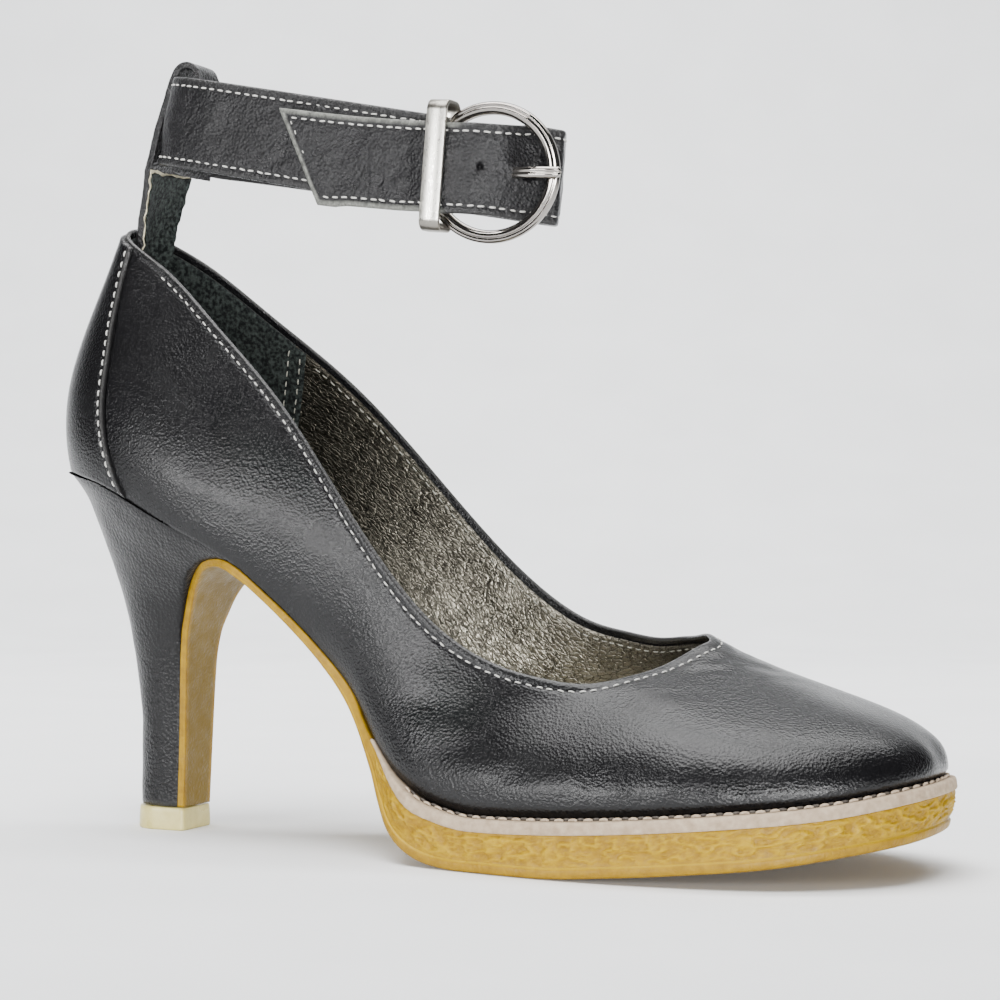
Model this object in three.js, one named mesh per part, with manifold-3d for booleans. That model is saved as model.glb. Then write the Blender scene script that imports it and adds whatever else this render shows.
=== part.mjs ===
// Ankle strap pump with a crepe platform, right shoe, as separate solids.
// Millimetres. +X runs from heel to toe, +Y to the inner side of the foot, +Z up.
// The origin is the middle of the heel's tread, on the floor.
import * as THREE from 'three';
import { mergeVertices } from 'three/addons/utils/BufferGeometryUtils.js';
import Module from 'manifold-3d';

const wasm = await Module();
wasm.setup();

// The last
const lastLength = 217.5;    // back of the seat to the toe tip, along the floor
const seatBehind = 26.5;     // back of the seat behind the middle of the heel's tread
const ballWidth = 76;        // width of the foot line at the ball
const heelHeight = 86;       // foot line at the back of the seat, over the floor
const foreHeight = 11.9;     // foot line at the ball, over the floor
const toeSpring = 9.7;       // how far the foot line rises from the ball to the toe
const backHeight = 59.6;     // collar over the seat, at the back

// Upper and what is sewn to it
const wall = 1.8;
const clearance = 0.3;
const panelThickness = 1;
const tabWidth = 17;
const tabThickness = 2.2;
const tabFoot = 11;          // how far the tab reaches down inside the collar

// Insole, welt and sole
const insoleThickness = 2;
const weltThickness = 2.5;
const weltStand = 3;         // how far the welt stands outside the foot line
const toeStand = 1.6;        // and at the toe
const flapThickness = 1.7;   // sole leather down the front of the heel
const rimHeight = 2.4;       // smooth rim along the lower edge of the platform
const rimInset = 0.5;        // the side above the rim lies this much further in

// Heel
const treadLength = 15;
const treadWidth = 14.2;
const treadThickness = 5.3;
const neckWidth = 13.4;
const treadTop = (treadThickness + clearance) / lastLength;  // where the heel begins, in last lengths

// Ankle strap, with its loop lying in a plane that dips towards the front
const strapWidth = 21.2;
const strapThickness = 1.9;
const loopLength = 105.4;    // back to front of the loop, at the middle of the leather
const loopHalfWidth = 16.8;
const loopDip = 11;          // degrees
const loopRise = 13.8;         // lower edge of the strap over the collar, at the back

// Buckle
const ringRadius = 14.25;    // to the middle of the wire
const wireRadius = 1.5;
const barRadius = 1.25;
const ringFromFront = 15.8;  // middle of the ring behind the front of the loop
const barBehind = 11.6;      // bar behind the middle of the ring
const prongWidth = 2.6;
const prongDepth = 1.9;
const keeperWidth = 4.7;
const keeperThickness = 0.9;
const keeperBehind = 11.7;   // middle of the keeper behind the middle of the ring
const keeperBend = 1.6;      // radius of its bends, inside
const keeperRoom = 3.1;      // room inside the keeper over the strap's edge, and under it
const keeperLow = 0.6;       // how much further it reaches down than up
const keeperLean = 6.8;      // degrees that the keeper leans back from the strap's square

const up = new THREE.Vector3(0, 0, 1);
const degrees = Math.PI / 180;

function lerp(a, b, t) {
  return a + (b - a) * t;
}

function clamp01(t) {
  return Math.min(1, Math.max(0, t));
}

function ease(t) {
  const c = clamp01(t);
  return c * c * (3 - 2 * c);
}

// Curve through a table's rows that never overshoots them
function through(rows, key, value) {
  const x = rows.map((row) => row[key]);
  const y = rows.map((row) => row[value]);
  const n = x.length;
  const slope = x.slice(1).map((xi, i) => (y[i + 1] - y[i]) / (xi - x[i]));
  const tangent = y.map((_, i) => {
    if (i === 0) return slope[0];
    if (i === n - 1) return slope[n - 2];
    if (slope[i - 1] * slope[i] <= 0) return 0;
    return (2 * slope[i - 1] * slope[i]) / (slope[i - 1] + slope[i]);
  });
  return (at) => {
    if (at <= x[0]) return y[0] + tangent[0] * (at - x[0]);
    if (at >= x[n - 1]) return y[n - 1] + tangent[n - 1] * (at - x[n - 1]);
    let i = 0;
    while (at > x[i + 1]) i += 1;
    const h = x[i + 1] - x[i];
    const t = (at - x[i]) / h;
    const keep = (1 + 2 * t) * (1 - t) ** 2;
    const turn = t * t * (3 - 2 * t);
    return keep * y[i] + turn * y[i + 1]
      + h * (t * (1 - t) ** 2 * tangent[i] - t * t * (1 - t) * tangent[i + 1]);
  };
}

// Closed curve of even curvature through its points, one unit of u from point to point
function closedCurve(points) {
  const n = points.length;
  const held = points.map((p) => p.clone());
  for (let pass = 0; pass < 40; pass += 1) {
    for (let i = 0; i < n; i += 1) {
      const sides = held[(i + n - 1) % n].clone().add(held[(i + 1) % n]);
      held[i] = points[i].clone().multiplyScalar(6).sub(sides).multiplyScalar(0.25);
    }
  }
  return (u) => {
    const from = Math.floor(u);
    const t = u - from;
    const weights = [(1 - t) ** 3, 3 * t ** 3 - 6 * t * t + 4, -3 * t ** 3 + 3 * t * t + 3 * t + 1, t ** 3];
    const p = new THREE.Vector3();
    weights.forEach((w, k) => p.addScaledVector(held[(((from + k - 1) % n) + n) % n], w / 6));
    return p;
  };
}

// Foot line over the floor. at: share of the last's length. lift: share of the way from the
// ball's height up to the seat's. spring: share of the toe spring.
const bedRows = [
  { at: 0, lift: 1, spring: 0 },
  { at: 0.076, lift: 0.96, spring: 0 },
  { at: 0.168, lift: 0.843, spring: 0 },
  { at: 0.25, lift: 0.727, spring: 0 },
  { at: 0.306, lift: 0.597, spring: 0 },
  { at: 0.352, lift: 0.473, spring: 0 },
  { at: 0.398, lift: 0.341, spring: 0 },
  { at: 0.434, lift: 0.19, spring: 0 },
  { at: 0.467, lift: 0.09, spring: 0 },
  { at: 0.508, lift: 0.027, spring: 0 },
  { at: 0.563, lift: 0, spring: 0 },
  { at: 0.637, lift: 0, spring: 0.05 },
  { at: 0.729, lift: 0, spring: 0.19 },
  { at: 0.821, lift: 0, spring: 0.38 },
  { at: 0.913, lift: 0, spring: 0.61 },
  { at: 1, lift: 0, spring: 1 },
];
const bedLift = through(bedRows, 'at', 'lift');
const bedSpring = through(bedRows, 'at', 'spring');

function placeAlong(share) {
  return share * lastLength - seatBehind;
}

function bed(x) {
  const share = (x + seatBehind) / lastLength;
  return foreHeight + bedLift(share) * (heelHeight - foreHeight) + bedSpring(share) * toeSpring;
}

// Point at a depth under the foot line, square to it
function underBed(x, y, depth) {
  const step = 0.5;
  const slope = (bed(x + step) - bed(x - step)) / (2 * step);
  const scale = depth / Math.hypot(1, slope);
  return new THREE.Vector3(x + slope * scale, y, bed(x) - scale);
}

// Sections of the upper from the back of the heel to the toe, each on both sides of the foot.
// at: foot line along the last. lateral, medial: foot line from the middle, in ball widths.
// rimAt, rimLateral, rimMedial: the topline likewise. riseLateral, riseMedial: topline over the
// foot line, in back heights. steep and swell: how far the wall first goes up and outwards.
// crown and drop: how far it lies behind and below the topline before it reaches it.
// shoulder: how far it stands out there. These five are shares of the straight way up.
const upperRows = [
  { at: 0.01, lateral: 0, medial: 0, rimAt: 0.0715, rimLateral: 0, rimMedial: 0, riseLateral: 1,
    riseMedial: 1, steep: 0.37, swell: 0.1, crown: 0.1, drop: 0.33, shoulder: 0 },
  { at: 0.0325, lateral: 0.165, medial: 0.165, rimAt: 0.085, rimLateral: 0.113, rimMedial: 0.113,
    riseLateral: 0.957, riseMedial: 0.98, steep: 0.37, swell: 0.1, crown: 0.1, drop: 0.33, shoulder: 0 },
  { at: 0.087, lateral: 0.267, medial: 0.262, rimAt: 0.1425, rimLateral: 0.147, rimMedial: 0.147,
    riseLateral: 0.859, riseMedial: 0.9, steep: 0.36, swell: 0.1, crown: 0.1, drop: 0.33, shoulder: 0.02 },
  { at: 0.168, lateral: 0.313, medial: 0.307, rimAt: 0.214, rimLateral: 0.192, rimMedial: 0.204,
    riseLateral: 0.763, riseMedial: 0.822, steep: 0.34, swell: 0.1, crown: 0.08, drop: 0.33, shoulder: 0.05 },
  { at: 0.26, lateral: 0.316, medial: 0.296, rimAt: 0.306, rimLateral: 0.25, rimMedial: 0.27,
    riseLateral: 0.61, riseMedial: 0.705, steep: 0.33, swell: 0.1, crown: 0.09, drop: 0.32, shoulder: 0.07 },
  { at: 0.343, lateral: 0.289, medial: 0.257, rimAt: 0.398, rimLateral: 0.31, rimMedial: 0.329,
    riseLateral: 0.451, riseMedial: 0.597, steep: 0.32, swell: 0.1, crown: 0.13, drop: 0.3, shoulder: 0.07 },
  { at: 0.411, lateral: 0.325, medial: 0.289, rimAt: 0.485, rimLateral: 0.347, rimMedial: 0.363,
    riseLateral: 0.359, riseMedial: 0.52, steep: 0.28, swell: 0.09, crown: 0.2, drop: 0.27, shoulder: 0.06 },
  { at: 0.485, lateral: 0.412, medial: 0.395, rimAt: 0.559, rimLateral: 0.349, rimMedial: 0.372,
    riseLateral: 0.48, riseMedial: 0.615, steep: 0.3, swell: 0.08, crown: 0.17, drop: 0.29, shoulder: 0.05 },
  { at: 0.577, lateral: 0.474, medial: 0.467, rimAt: 0.614, rimLateral: 0.334, rimMedial: 0.342,
    riseLateral: 0.495, riseMedial: 0.631, steep: 0.35, swell: 0.09, crown: 0.13, drop: 0.3, shoulder: 0.04 },
  { at: 0.678, lateral: 0.5, medial: 0.5, rimAt: 0.6575, rimLateral: 0.308, rimMedial: 0.289,
    riseLateral: 0.463, riseMedial: 0.597, steep: 0.36, swell: 0.09, crown: 0.19, drop: 0.26, shoulder: 0.03 },
  { at: 0.779, lateral: 0.484, medial: 0.49, rimAt: 0.691, rimLateral: 0.242, rimMedial: 0.23,
    riseLateral: 0.457, riseMedial: 0.576, steep: 0.31, swell: 0.07, crown: 0.31, drop: 0.15, shoulder: 0.02 },
  { at: 0.868, lateral: 0.425, medial: 0.44, rimAt: 0.715, rimLateral: 0.147, rimMedial: 0.166,
    riseLateral: 0.458, riseMedial: 0.554, steep: 0.28, swell: 0.05, crown: 0.35, drop: 0.16, shoulder: 0 },
  { at: 0.9395, lateral: 0.296, medial: 0.33, rimAt: 0.733, rimLateral: 0.068, rimMedial: 0.108,
    riseLateral: 0.468, riseMedial: 0.53, steep: 0.26, swell: 0.04, crown: 0.37, drop: 0.2, shoulder: 0 },
  { at: 0.979, lateral: 0.138, medial: 0.19, rimAt: 0.744, rimLateral: 0.0105, rimMedial: 0.0605,
    riseLateral: 0.468, riseMedial: 0.495, steep: 0.26, swell: 0.04, crown: 0.37, drop: 0.22, shoulder: 0 },
  { at: 0.9885, lateral: -0.033, medial: 0.033, rimAt: 0.7475, rimLateral: -0.026, rimMedial: 0.026,
    riseLateral: 0.473, riseMedial: 0.473, steep: 0.26, swell: 0.04, crown: 0.37, drop: 0.225, shoulder: 0 },
];
const toeRow = upperRows.length - 1;
const around = 2 * toeRow;     // sections once round the shoe: lateral side, toe, medial side

function sectionEnds(k) {
  const lateral = k <= toeRow;
  const row = upperRows[lateral ? k : around - k];
  const side = lateral ? -1 : 1;
  const x = placeAlong(row.at);
  const foot = new THREE.Vector3(x, side * (lateral ? row.lateral : row.medial) * ballWidth, bed(x));
  const rise = (lateral ? row.riseLateral : row.riseMedial) * backHeight;
  const out = (lateral ? row.rimLateral : row.rimMedial) * ballWidth;
  const rim = new THREE.Vector3(placeAlong(row.rimAt), side * out, bed(x) + rise);
  return { row, foot, rim };
}

function upperRails() {
  const ends = Array.from({ length: around }, (_, k) => sectionEnds(k));
  const low = [];
  const high = [];
  ends.forEach(({ row, foot, rim }, k) => {
    const ahead = ends[(k + 1) % around].foot;
    const behind = ends[(k + around - 1) % around].foot;
    const along = ahead.clone().sub(behind).setZ(0).normalize();
    const outward = new THREE.Vector3(along.y, -along.x, 0);
    const way = rim.clone().sub(foot);
    const length = way.length();
    const level = way.clone().setZ(0).normalize();
    low.push(foot.clone().addScaledVector(up, row.steep * length).addScaledVector(outward, row.swell * length));
    high.push(rim.clone().addScaledVector(level, -row.crown * length)
      .addScaledVector(up, -row.drop * length).addScaledVector(outward, row.shoulder * length));
  });
  return [ends.map((e) => e.foot), low, high, ends.map((e) => e.rim)].map(closedCurve);
}
const [footRail, lowRail, highRail, rimRail] = upperRails();

// Outside of the upper: u runs round the shoe, v from the foot line to the topline
function upperPoint(u, v) {
  const w = 1 - v;
  const foot = footRail(u);
  foot.z = bed(foot.x);
  return foot.multiplyScalar(w ** 3).addScaledVector(lowRail(u), 3 * w * w * v)
    .addScaledVector(highRail(u), 3 * w * v * v).addScaledVector(rimRail(u), v ** 3);
}

function outlineNormal(u) {
  const step = 0.02;
  const along = footRail(u + step).sub(footRail(u - step)).setZ(0).normalize();
  return new THREE.Vector3(along.y, -along.x, 0);
}

function upperNormal(u, v) {
  const step = 0.01;
  const along = upperPoint(u + step, v).sub(upperPoint(u - step, v));
  const top = Math.min(v, 1 - step);
  const rise = upperPoint(u, top + step).sub(upperPoint(u, top));
  return along.cross(rise).normalize();
}

// Point of the wall at a depth inside its outside; at the foot line it stays level with it
function wallPoint(u, v, depth) {
  const level = 1 - ease(v / 0.12);
  const normal = upperNormal(u, v).lerp(outlineNormal(u), level).normalize();
  const p = upperPoint(u, v).addScaledVector(normal, -depth);
  if (v === 0) p.z = bed(p.x);
  return p;
}

function solid(vertices, triangles) {
  let volume = 0;
  triangles.forEach(([a, b, c]) => {
    volume += vertices[a].clone().cross(vertices[b]).dot(vertices[c]);
  });
  const index = triangles.flatMap(([a, b, c]) => (volume > 0 ? [a, b, c] : [a, c, b]));
  const geometry = new THREE.BufferGeometry();
  geometry.setAttribute('position', new THREE.Float32BufferAttribute(vertices.flatMap((p) => [p.x, p.y, p.z]), 3));
  geometry.setIndex(index);
  return geometry;
}

function addQuad(triangles, a, b, c, d) {
  triangles.push([a, b, c], [a, c, d]);
}

// Skin over rings of equally many points. Closed rings run once more to the first ring, and
// an open row of rings gets a cap at each end.
function skin(rings, closed) {
  const size = rings[0].length;
  const vertices = rings.flat();
  const triangles = [];
  const spans = closed ? rings.length : rings.length - 1;
  for (let i = 0; i < spans; i += 1) {
    const a = i * size;
    const b = ((i + 1) % rings.length) * size;
    for (let j = 0; j < size; j += 1) {
      const k = (j + 1) % size;
      addQuad(triangles, a + j, a + k, b + k, b + j);
    }
  }
  if (!closed) {
    [0, rings.length - 1].forEach((which) => {
      const middle = rings[which].reduce((sum, p) => sum.add(p), new THREE.Vector3()).divideScalar(size);
      const centre = vertices.push(middle) - 1;
      for (let j = 0; j < size; j += 1) {
        const a = which * size + j;
        const b = which * size + ((j + 1) % size);
        triangles.push(which === 0 ? [centre, b, a] : [centre, a, b]);
      }
    });
  }
  return solid(vertices, triangles);
}

// Flat-laid piece from levels of rungs. Each rung joins a point of the lateral edge to one of
// the medial edge, and where both are the same point the edges meet in a tip.
function laid(levels) {
  const first = levels[0];
  const last = first.length - 1;
  const tipAt = (i) => first[i][0].distanceTo(first[i][1]) < 1e-6;
  const lateral = first.map((_, i) => i);
  const medial = first.map((_, i) => i).filter((i) => !tipAt(i)).reverse();
  const size = lateral.length + medial.length;
  const medialPlace = (i) => (tipAt(i) ? i : lateral.length + medial.indexOf(i));
  const vertices = levels.flatMap((rungs) => [...lateral.map((i) => rungs[i][0]), ...medial.map((i) => rungs[i][1])]);
  const triangles = [];
  for (let level = 0; level < levels.length - 1; level += 1) {
    for (let j = 0; j < size; j += 1) {
      const k = (j + 1) % size;
      addQuad(triangles, level * size + j, level * size + k, (level + 1) * size + k, (level + 1) * size + j);
    }
  }
  [0, levels.length - 1].forEach((level) => {
    const base = level * size;
    for (let i = 0; i < last; i += 1) {
      const a = base + i;
      const b = base + i + 1;
      const c = base + medialPlace(i + 1);
      const d = base + medialPlace(i);
      const faces = [];
      if (b !== c) faces.push([a, b, c]);
      if (a !== d) faces.push([a, c, d]);
      faces.forEach(([p, q, r]) => triangles.push(level === 0 ? [p, r, q] : [p, q, r]));
    }
  });
  return solid(vertices, triangles);
}

function toSolid(geometry) {
  const bare = geometry.index ? geometry.clone() : mergeVertices(geometry.clone());
  bare.deleteAttribute('normal');
  bare.deleteAttribute('uv');
  const merged = mergeVertices(bare, 1e-5);
  return new wasm.Manifold(new wasm.Mesh({
    numProp: 3,
    vertProperties: new Float32Array(merged.attributes.position.array),
    triVerts: new Uint32Array(merged.index.array),
  }));
}

function fromSolid(body) {
  const mesh = body.getMesh();
  const geometry = new THREE.BufferGeometry();
  geometry.setAttribute('position', new THREE.Float32BufferAttribute(mesh.vertProperties, 3));
  geometry.setIndex(Array.from(mesh.triVerts));
  return geometry;
}

function finish(color, roughness, metalness = 0) {
  return new THREE.MeshStandardMaterial({ color, roughness, metalness });
}
const blackLeather = finish('#211f22', 0.42);
const heelLeather = finish('#1f1e20', 0.48);
const liningGrey = finish('#7d786c', 0.35, 0.35);
const crepe = finish('#c9962a', 0.75);
const creamWelt = finish('#d8c7a8', 0.7);
const paleRubber = finish('#dcd09a', 0.5);
const darkNickel = finish('#6d6a70', 0.22, 1);
const brightNickel = finish('#b9b3a6', 0.3, 1);

const shoe = new THREE.Group();

function addPiece(name, geometry, material) {
  const mesh = new THREE.Mesh(geometry, material);
  mesh.name = name;
  shoe.add(mesh);
  return mesh;
}

// Upper: one wall, open at the collar and underneath
function makeUpper() {
  const perSection = 3;
  const steps = 9;
  const rings = [];
  for (let i = 0; i < around * perSection; i += 1) {
    const u = i / perSection;
    const ring = [];
    for (let j = 0; j <= steps; j += 1) ring.push(upperPoint(u, j / steps));
    for (let j = steps; j >= 0; j -= 1) ring.push(wallPoint(u, j / steps, wall));
    rings.push(ring);
  }
  return skin(rings, true);
}
addPiece('upper', makeUpper(), blackLeather);

// Counter panel over the back of the heel. up: share of the way to the topline.
// reach: how far the panel's edge lies from the back, counted in sections of the upper.
const panelRows = [
  { up: 0, reach: 2.5 },
  { up: 0.15, reach: 2.25 },
  { up: 0.35, reach: 1.97 },
  { up: 0.5, reach: 1.8 },
  { up: 0.7, reach: 1.52 },
  { up: 0.9, reach: 1.3 },
  { up: 1, reach: 1.25 },
];
const panelReach = through(panelRows, 'up', 'reach');

function makeCounterPanel() {
  const across = 18;
  const rise = 9;
  const lowest = 0.012;
  const highest = 0.985;
  const rings = [];
  for (let i = 0; i <= across; i += 1) {
    const share = (2 * i) / across - 1;
    const ring = [];
    const at = (j) => lerp(lowest, highest, j / rise);
    for (let j = 0; j <= rise; j += 1) ring.push(wallPoint(share * panelReach(at(j)), at(j), -clearance));
    for (let j = rise; j >= 0; j -= 1) {
      ring.push(wallPoint(share * panelReach(at(j)), at(j), -clearance - panelThickness));
    }
    rings.push(ring);
  }
  return stripSkin(rings);
}

// Skin over open rows whose ends are long and thin: each end is closed by a ladder of faces
function stripSkin(rings) {
  const size = rings[0].length;
  const half = size / 2;
  const vertices = rings.flat();
  const triangles = [];
  for (let i = 0; i < rings.length - 1; i += 1) {
    for (let j = 0; j < size; j += 1) {
      const k = (j + 1) % size;
      addQuad(triangles, i * size + j, i * size + k, (i + 1) * size + k, (i + 1) * size + j);
    }
  }
  [0, rings.length - 1].forEach((which) => {
    const base = which * size;
    for (let j = 0; j < half - 1; j += 1) {
      const corners = [base + j, base + j + 1, base + size - 2 - j, base + size - 1 - j];
      if (which === 0) corners.reverse();
      addQuad(triangles, ...corners);
    }
  });
  return solid(vertices, triangles);
}
addPiece('counter_panel', makeCounterPanel(), blackLeather);

// Rungs across the last at even steps of u, from one end of the lateral side to the toe
function rungsFrom(startU, count, place) {
  const rungs = [];
  for (let i = 0; i <= count; i += 1) {
    const u = lerp(startU, toeRow, i / count);
    rungs.push([place(u), i === count ? place(u) : place(around - u)]);
  }
  return rungs;
}

// Insole: fills the upper's lower opening and lies level with its lower edge
function makeInsole() {
  const inset = wall + clearance + 0.25;
  const edge = (depth) => (u) => {
    const p = footRail(u).addScaledVector(outlineNormal(u), -inset);
    return underBed(p.x, p.y, depth);
  };
  return laid([0, -insoleThickness].map((depth) => rungsFrom(0, 54, edge(depth))));
}
addPiece('insole', makeInsole(), liningGrey);

// Welt: a strip that starts where the shank meets the platform. start and full are shares of
// the last's length where it begins and where it has its whole thickness and stand.
const weltStart = 0.432;
const weltFull = 0.5;
const weltRoomFrom = 0.4;      // the sole makes room for the welt from here on
const toeStandFrom = 0.84;

function weltShare(x) {
  return ease((x - placeAlong(weltStart)) / (placeAlong(weltFull) - placeAlong(weltStart)));
}

function weltDepth(x) {
  return lerp(0.5, weltThickness, weltShare(x));
}

// How far the sole stands out beside the upper: little at the shank, less again round the toe
function soleOutline(u, inset) {
  const foot = footRail(u);
  const toeShare = ease((foot.x - placeAlong(toeStandFrom)) / (placeAlong(1) - placeAlong(toeStandFrom)));
  const stand = lerp(weltStand, toeStand, toeShare) * lerp(0.1, 1, weltShare(foot.x)) - inset;
  return foot.addScaledVector(outlineNormal(u), stand);
}

const weltFromU = 6.3;         // section of the upper beside which the welt begins

function makeWelt() {
  const edge = (share) => (u) => {
    const p = soleOutline(u, 0);
    return underBed(p.x, p.y, clearance + share * weltDepth(p.x));
  };
  return laid([1, 0].map((share) => rungsFrom(weltFromU, 50, edge(share))));
}
addPiece('welt', makeWelt(), creamWelt);

// Lower face of the sole, from the foot of the heel's front, round the bend under the arch and
// on to the toe. seam: share of the last's length of the seam above it, which runs on
// backwards for the part on the heel. at and over: that face along the last and over the
// floor, in last lengths. half: half its width on the heel, in seat widths.
const soleRows = [
  { seam: -0.072, at: 0.1552, over: treadTop, half: 0.135 },
  { seam: -0.006, at: 0.1574, over: 0.092, half: 0.14 },
  { seam: 0.054, at: 0.159, over: 0.152, half: 0.15 },
  { seam: 0.091, at: 0.1605, over: 0.1885, half: 0.16 },
  { seam: 0.119, at: 0.1637, over: 0.216, half: 0.178 },
  { seam: 0.143, at: 0.1706, over: 0.239, half: 0.205 },
  { seam: 0.162, at: 0.1775, over: 0.2575, half: 0.232 },
  { seam: 0.179, at: 0.1862, over: 0.2726, half: 0.27 },
  { seam: 0.195, at: 0.1982, over: 0.2837, half: 0.33 },
  { seam: 0.214, at: 0.2138, over: 0.291, half: 0.4 },
  { seam: 0.232, at: 0.2313, over: 0.2933, half: 0.455 },
  { seam: 0.25, at: 0.2483, over: 0.2897, half: 0.49 },
  { seam: 0.271, at: 0.2667, over: 0.2795, half: 0.5 },
  { seam: 0.297, at: 0.2915, over: 0.2593, half: 0.5 },
  { seam: 0.333, at: 0.3274, over: 0.2262, half: 0.5 },
  { seam: 0.37, at: 0.3625, over: 0.1913, half: 0.5 },
  { seam: 0.398, at: 0.3894, over: 0.1614, half: 0.5 },
  { seam: 0.416, at: 0.4078, over: 0.1333, half: 0.5 },
  { seam: 0.434, at: 0.4267, over: 0.092, half: 0.5 },
  { seam: 0.453, at: 0.4418, over: 0.0579, half: 0.5 },
  { seam: 0.471, at: 0.4575, over: 0.0331, half: 0.5 },
  { seam: 0.49, at: 0.4768, over: 0.017, half: 0.5 },
  { seam: 0.508, at: 0.4989, over: 0.0064, half: 0.5 },
  { seam: 0.526, at: 0.5218, over: 0.0016, half: 0.5 },
  { seam: 0.545, at: 0.5448, over: 0, half: 0.5 },
  { seam: 0.6276, at: 0.6276, over: 0, half: 0.5 },
  { seam: 0.71, at: 0.71, over: 0.0055, half: 0.5 },
  { seam: 0.784, at: 0.784, over: 0.0124, half: 0.5 },
  { seam: 0.8575, at: 0.8575, over: 0.0202, half: 0.5 },
  { seam: 0.931, at: 0.9283, over: 0.0317, half: 0.5 },
  { seam: 0.986, at: 0.9807, over: 0.0414, half: 0.5 },
  { seam: 1.018, at: 1.01, over: 0.0506, half: 0.5 },
];
const soleAt = through(soleRows, 'seam', 'at');
const soleOver = through(soleRows, 'seam', 'over');
const soleHalf = through(soleRows, 'seam', 'half');
const heelSeam = 0.225;        // behind this seam the sole lies on the heel's front
const shankSeam = 0.29;        // ahead of it the sole lies right under the upper
const soleGap = clearance + 0.1;

function soleLow(seam) {
  return new THREE.Vector3(placeAlong(soleAt(seam)), 0, soleOver(seam) * lastLength);
}

function soleUp(seam) {
  const step = 0.004;
  const along = soleLow(seam + step).sub(soleLow(seam - step)).normalize();
  const flap = soleLow(seam).addScaledVector(new THREE.Vector3(-along.z, 0, along.x), flapThickness);
  const x = placeAlong(seam);
  const room = ease((x - placeAlong(weltRoomFrom)) / (placeAlong(weltStart - 0.01) - placeAlong(weltRoomFrom)));
  const under = underBed(x, 0, soleGap + room * (weltDepth(x) + clearance));
  const p = flap.lerp(under, ease((seam - heelSeam) / (shankSeam - heelSeam)));
  return p;
}
const seatWidth = 2 * Math.abs(footRail(4).y);
const medialSeat = footRail(around - 4).y / Math.abs(footRail(4).y);

// Side of the sole from its lower face up. rise: height over that face. inset: how far the
// side lies inside the welt's edge. Where the sole is thin, both shrink with it.
const soleSide = [
  { rise: 0, inset: 1.3 },
  { rise: 0.45, inset: 0.45 },
  { rise: 1.2, inset: 0 },
  { rise: rimHeight - 0.4, inset: 0.05 },
  { rise: rimHeight + 0.2, inset: rimInset },
  { rise: 0.95, inset: rimInset - 0.2, fromTop: true },
  { rise: 1, inset: rimInset, fromTop: true },
];
const fullSide = 8;            // sole thickness at which the side has its whole profile

function makeOutsole() {
  const heelSteps = 16;
  const foreSteps = 54;
  const heelSeams = Array.from({ length: heelSteps }, (_, i) => lerp(soleRows[0].seam, 0.254, i / heelSteps));
  const levels = soleSide.map(({ rise, inset, fromTop }) => {
    const place = (seam, y) => {
      const low = soleLow(seam);
      const high = soleUp(seam);
      const height = low.distanceTo(high);
      const share = fromTop ? rise : (rise * Math.min(1, height / fullSide)) / height;
      return low.lerp(high, share).setY(y);
    };
    const thin = (seam) => Math.min(1, soleLow(seam).distanceTo(soleUp(seam)) / fullSide);
    const heelRungs = heelSeams.map((seam) => {
      const out = soleHalf(seam) * seatWidth - inset * thin(seam);
      return [place(seam, -out), place(seam, out * lerp(1, medialSeat, ease(seam / 0.25)))];
    });
    const foreEdge = (u) => {
      const flat = soleOutline(u, 0);
      const p = soleOutline(u, inset * thin((flat.x + seatBehind) / lastLength));
      return place((p.x + seatBehind) / lastLength, p.y);
    };
    return [...heelRungs, ...rungsFrom(4, foreSteps, foreEdge)];
  });
  return laid(levels);
}
addPiece('outsole', makeOutsole(), crepe);

// Heel block between the seat, the sole down its front and the tread. rearAt, rearOver,
// frontAt, frontOver: its back and front, in last lengths. flare: from the neck's width, 0, to
// the seat's, 1, and frontFlare likewise. follow: how far it takes up the seat's bend.
const heelRows = [
  { rearAt: -0.0336, rearOver: treadTop, frontAt: 0.06, frontOver: treadTop, flare: 0, frontFlare: -0.01, follow: 0 },
  { rearAt: -0.0334, rearOver: 0.069, frontAt: 0.06, frontOver: 0.069, flare: 0, frontFlare: 0, follow: 0 },
  { rearAt: -0.034, rearOver: 0.117, frontAt: 0.06, frontOver: 0.117, flare: 0.01, frontFlare: 0.01, follow: 0 },
  { rearAt: -0.039, rearOver: 0.1655, frontAt: 0.06, frontOver: 0.161, flare: 0.035, frontFlare: 0.035, follow: 0 },
  { rearAt: -0.0478, rearOver: 0.217, frontAt: 0.064, frontOver: 0.2, flare: 0.12, frontFlare: 0.09, follow: 0 },
  { rearAt: -0.0611, rearOver: 0.2667, frontAt: 0.074, frontOver: 0.2345, flare: 0.275, frontFlare: 0.18, follow: 0.15 },
  { rearAt: -0.0795, rearOver: 0.3177, frontAt: 0.092, frontOver: 0.258, flare: 0.52, frontFlare: 0.38, follow: 0.4 },
  { rearAt: -0.0998, rearOver: 0.3683, frontAt: 0.115, frontOver: 0.281, flare: 0.82, frontFlare: 0.7, follow: 0.7 },
  { rearAt: -0.1172, rearOver: 0.3915, frontAt: 0.134, frontOver: 0.294, flare: 0.965, frontFlare: 0.95, follow: 0.92 },
  { rearAt: -0.1236, rearOver: 0.401, frontAt: 0.142, frontOver: 0.301, flare: 1, frontFlare: 1, follow: 1 },
];
const seatRound = 0.68;        // share of the seat's length over which its back is round
const neckRound = 0.5;

// Half widths of a piece that is round at the back, as shares along it
function roundedBack(roundShare, half, frontHalf) {
  const backSteps = 8;
  const frontSteps = 4;
  const rungs = [];
  for (let i = 0; i <= backSteps; i += 1) {
    const angle = (i / backSteps) * (Math.PI / 2);
    rungs.push({ share: roundShare * (1 - Math.cos(angle)), out: half * Math.sin(angle) });
  }
  for (let i = 1; i <= frontSteps; i += 1) {
    const t = i / frontSteps;
    rungs.push({ share: lerp(roundShare, 1, t), out: lerp(half, frontHalf, t * t) });
  }
  return rungs;
}

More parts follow.
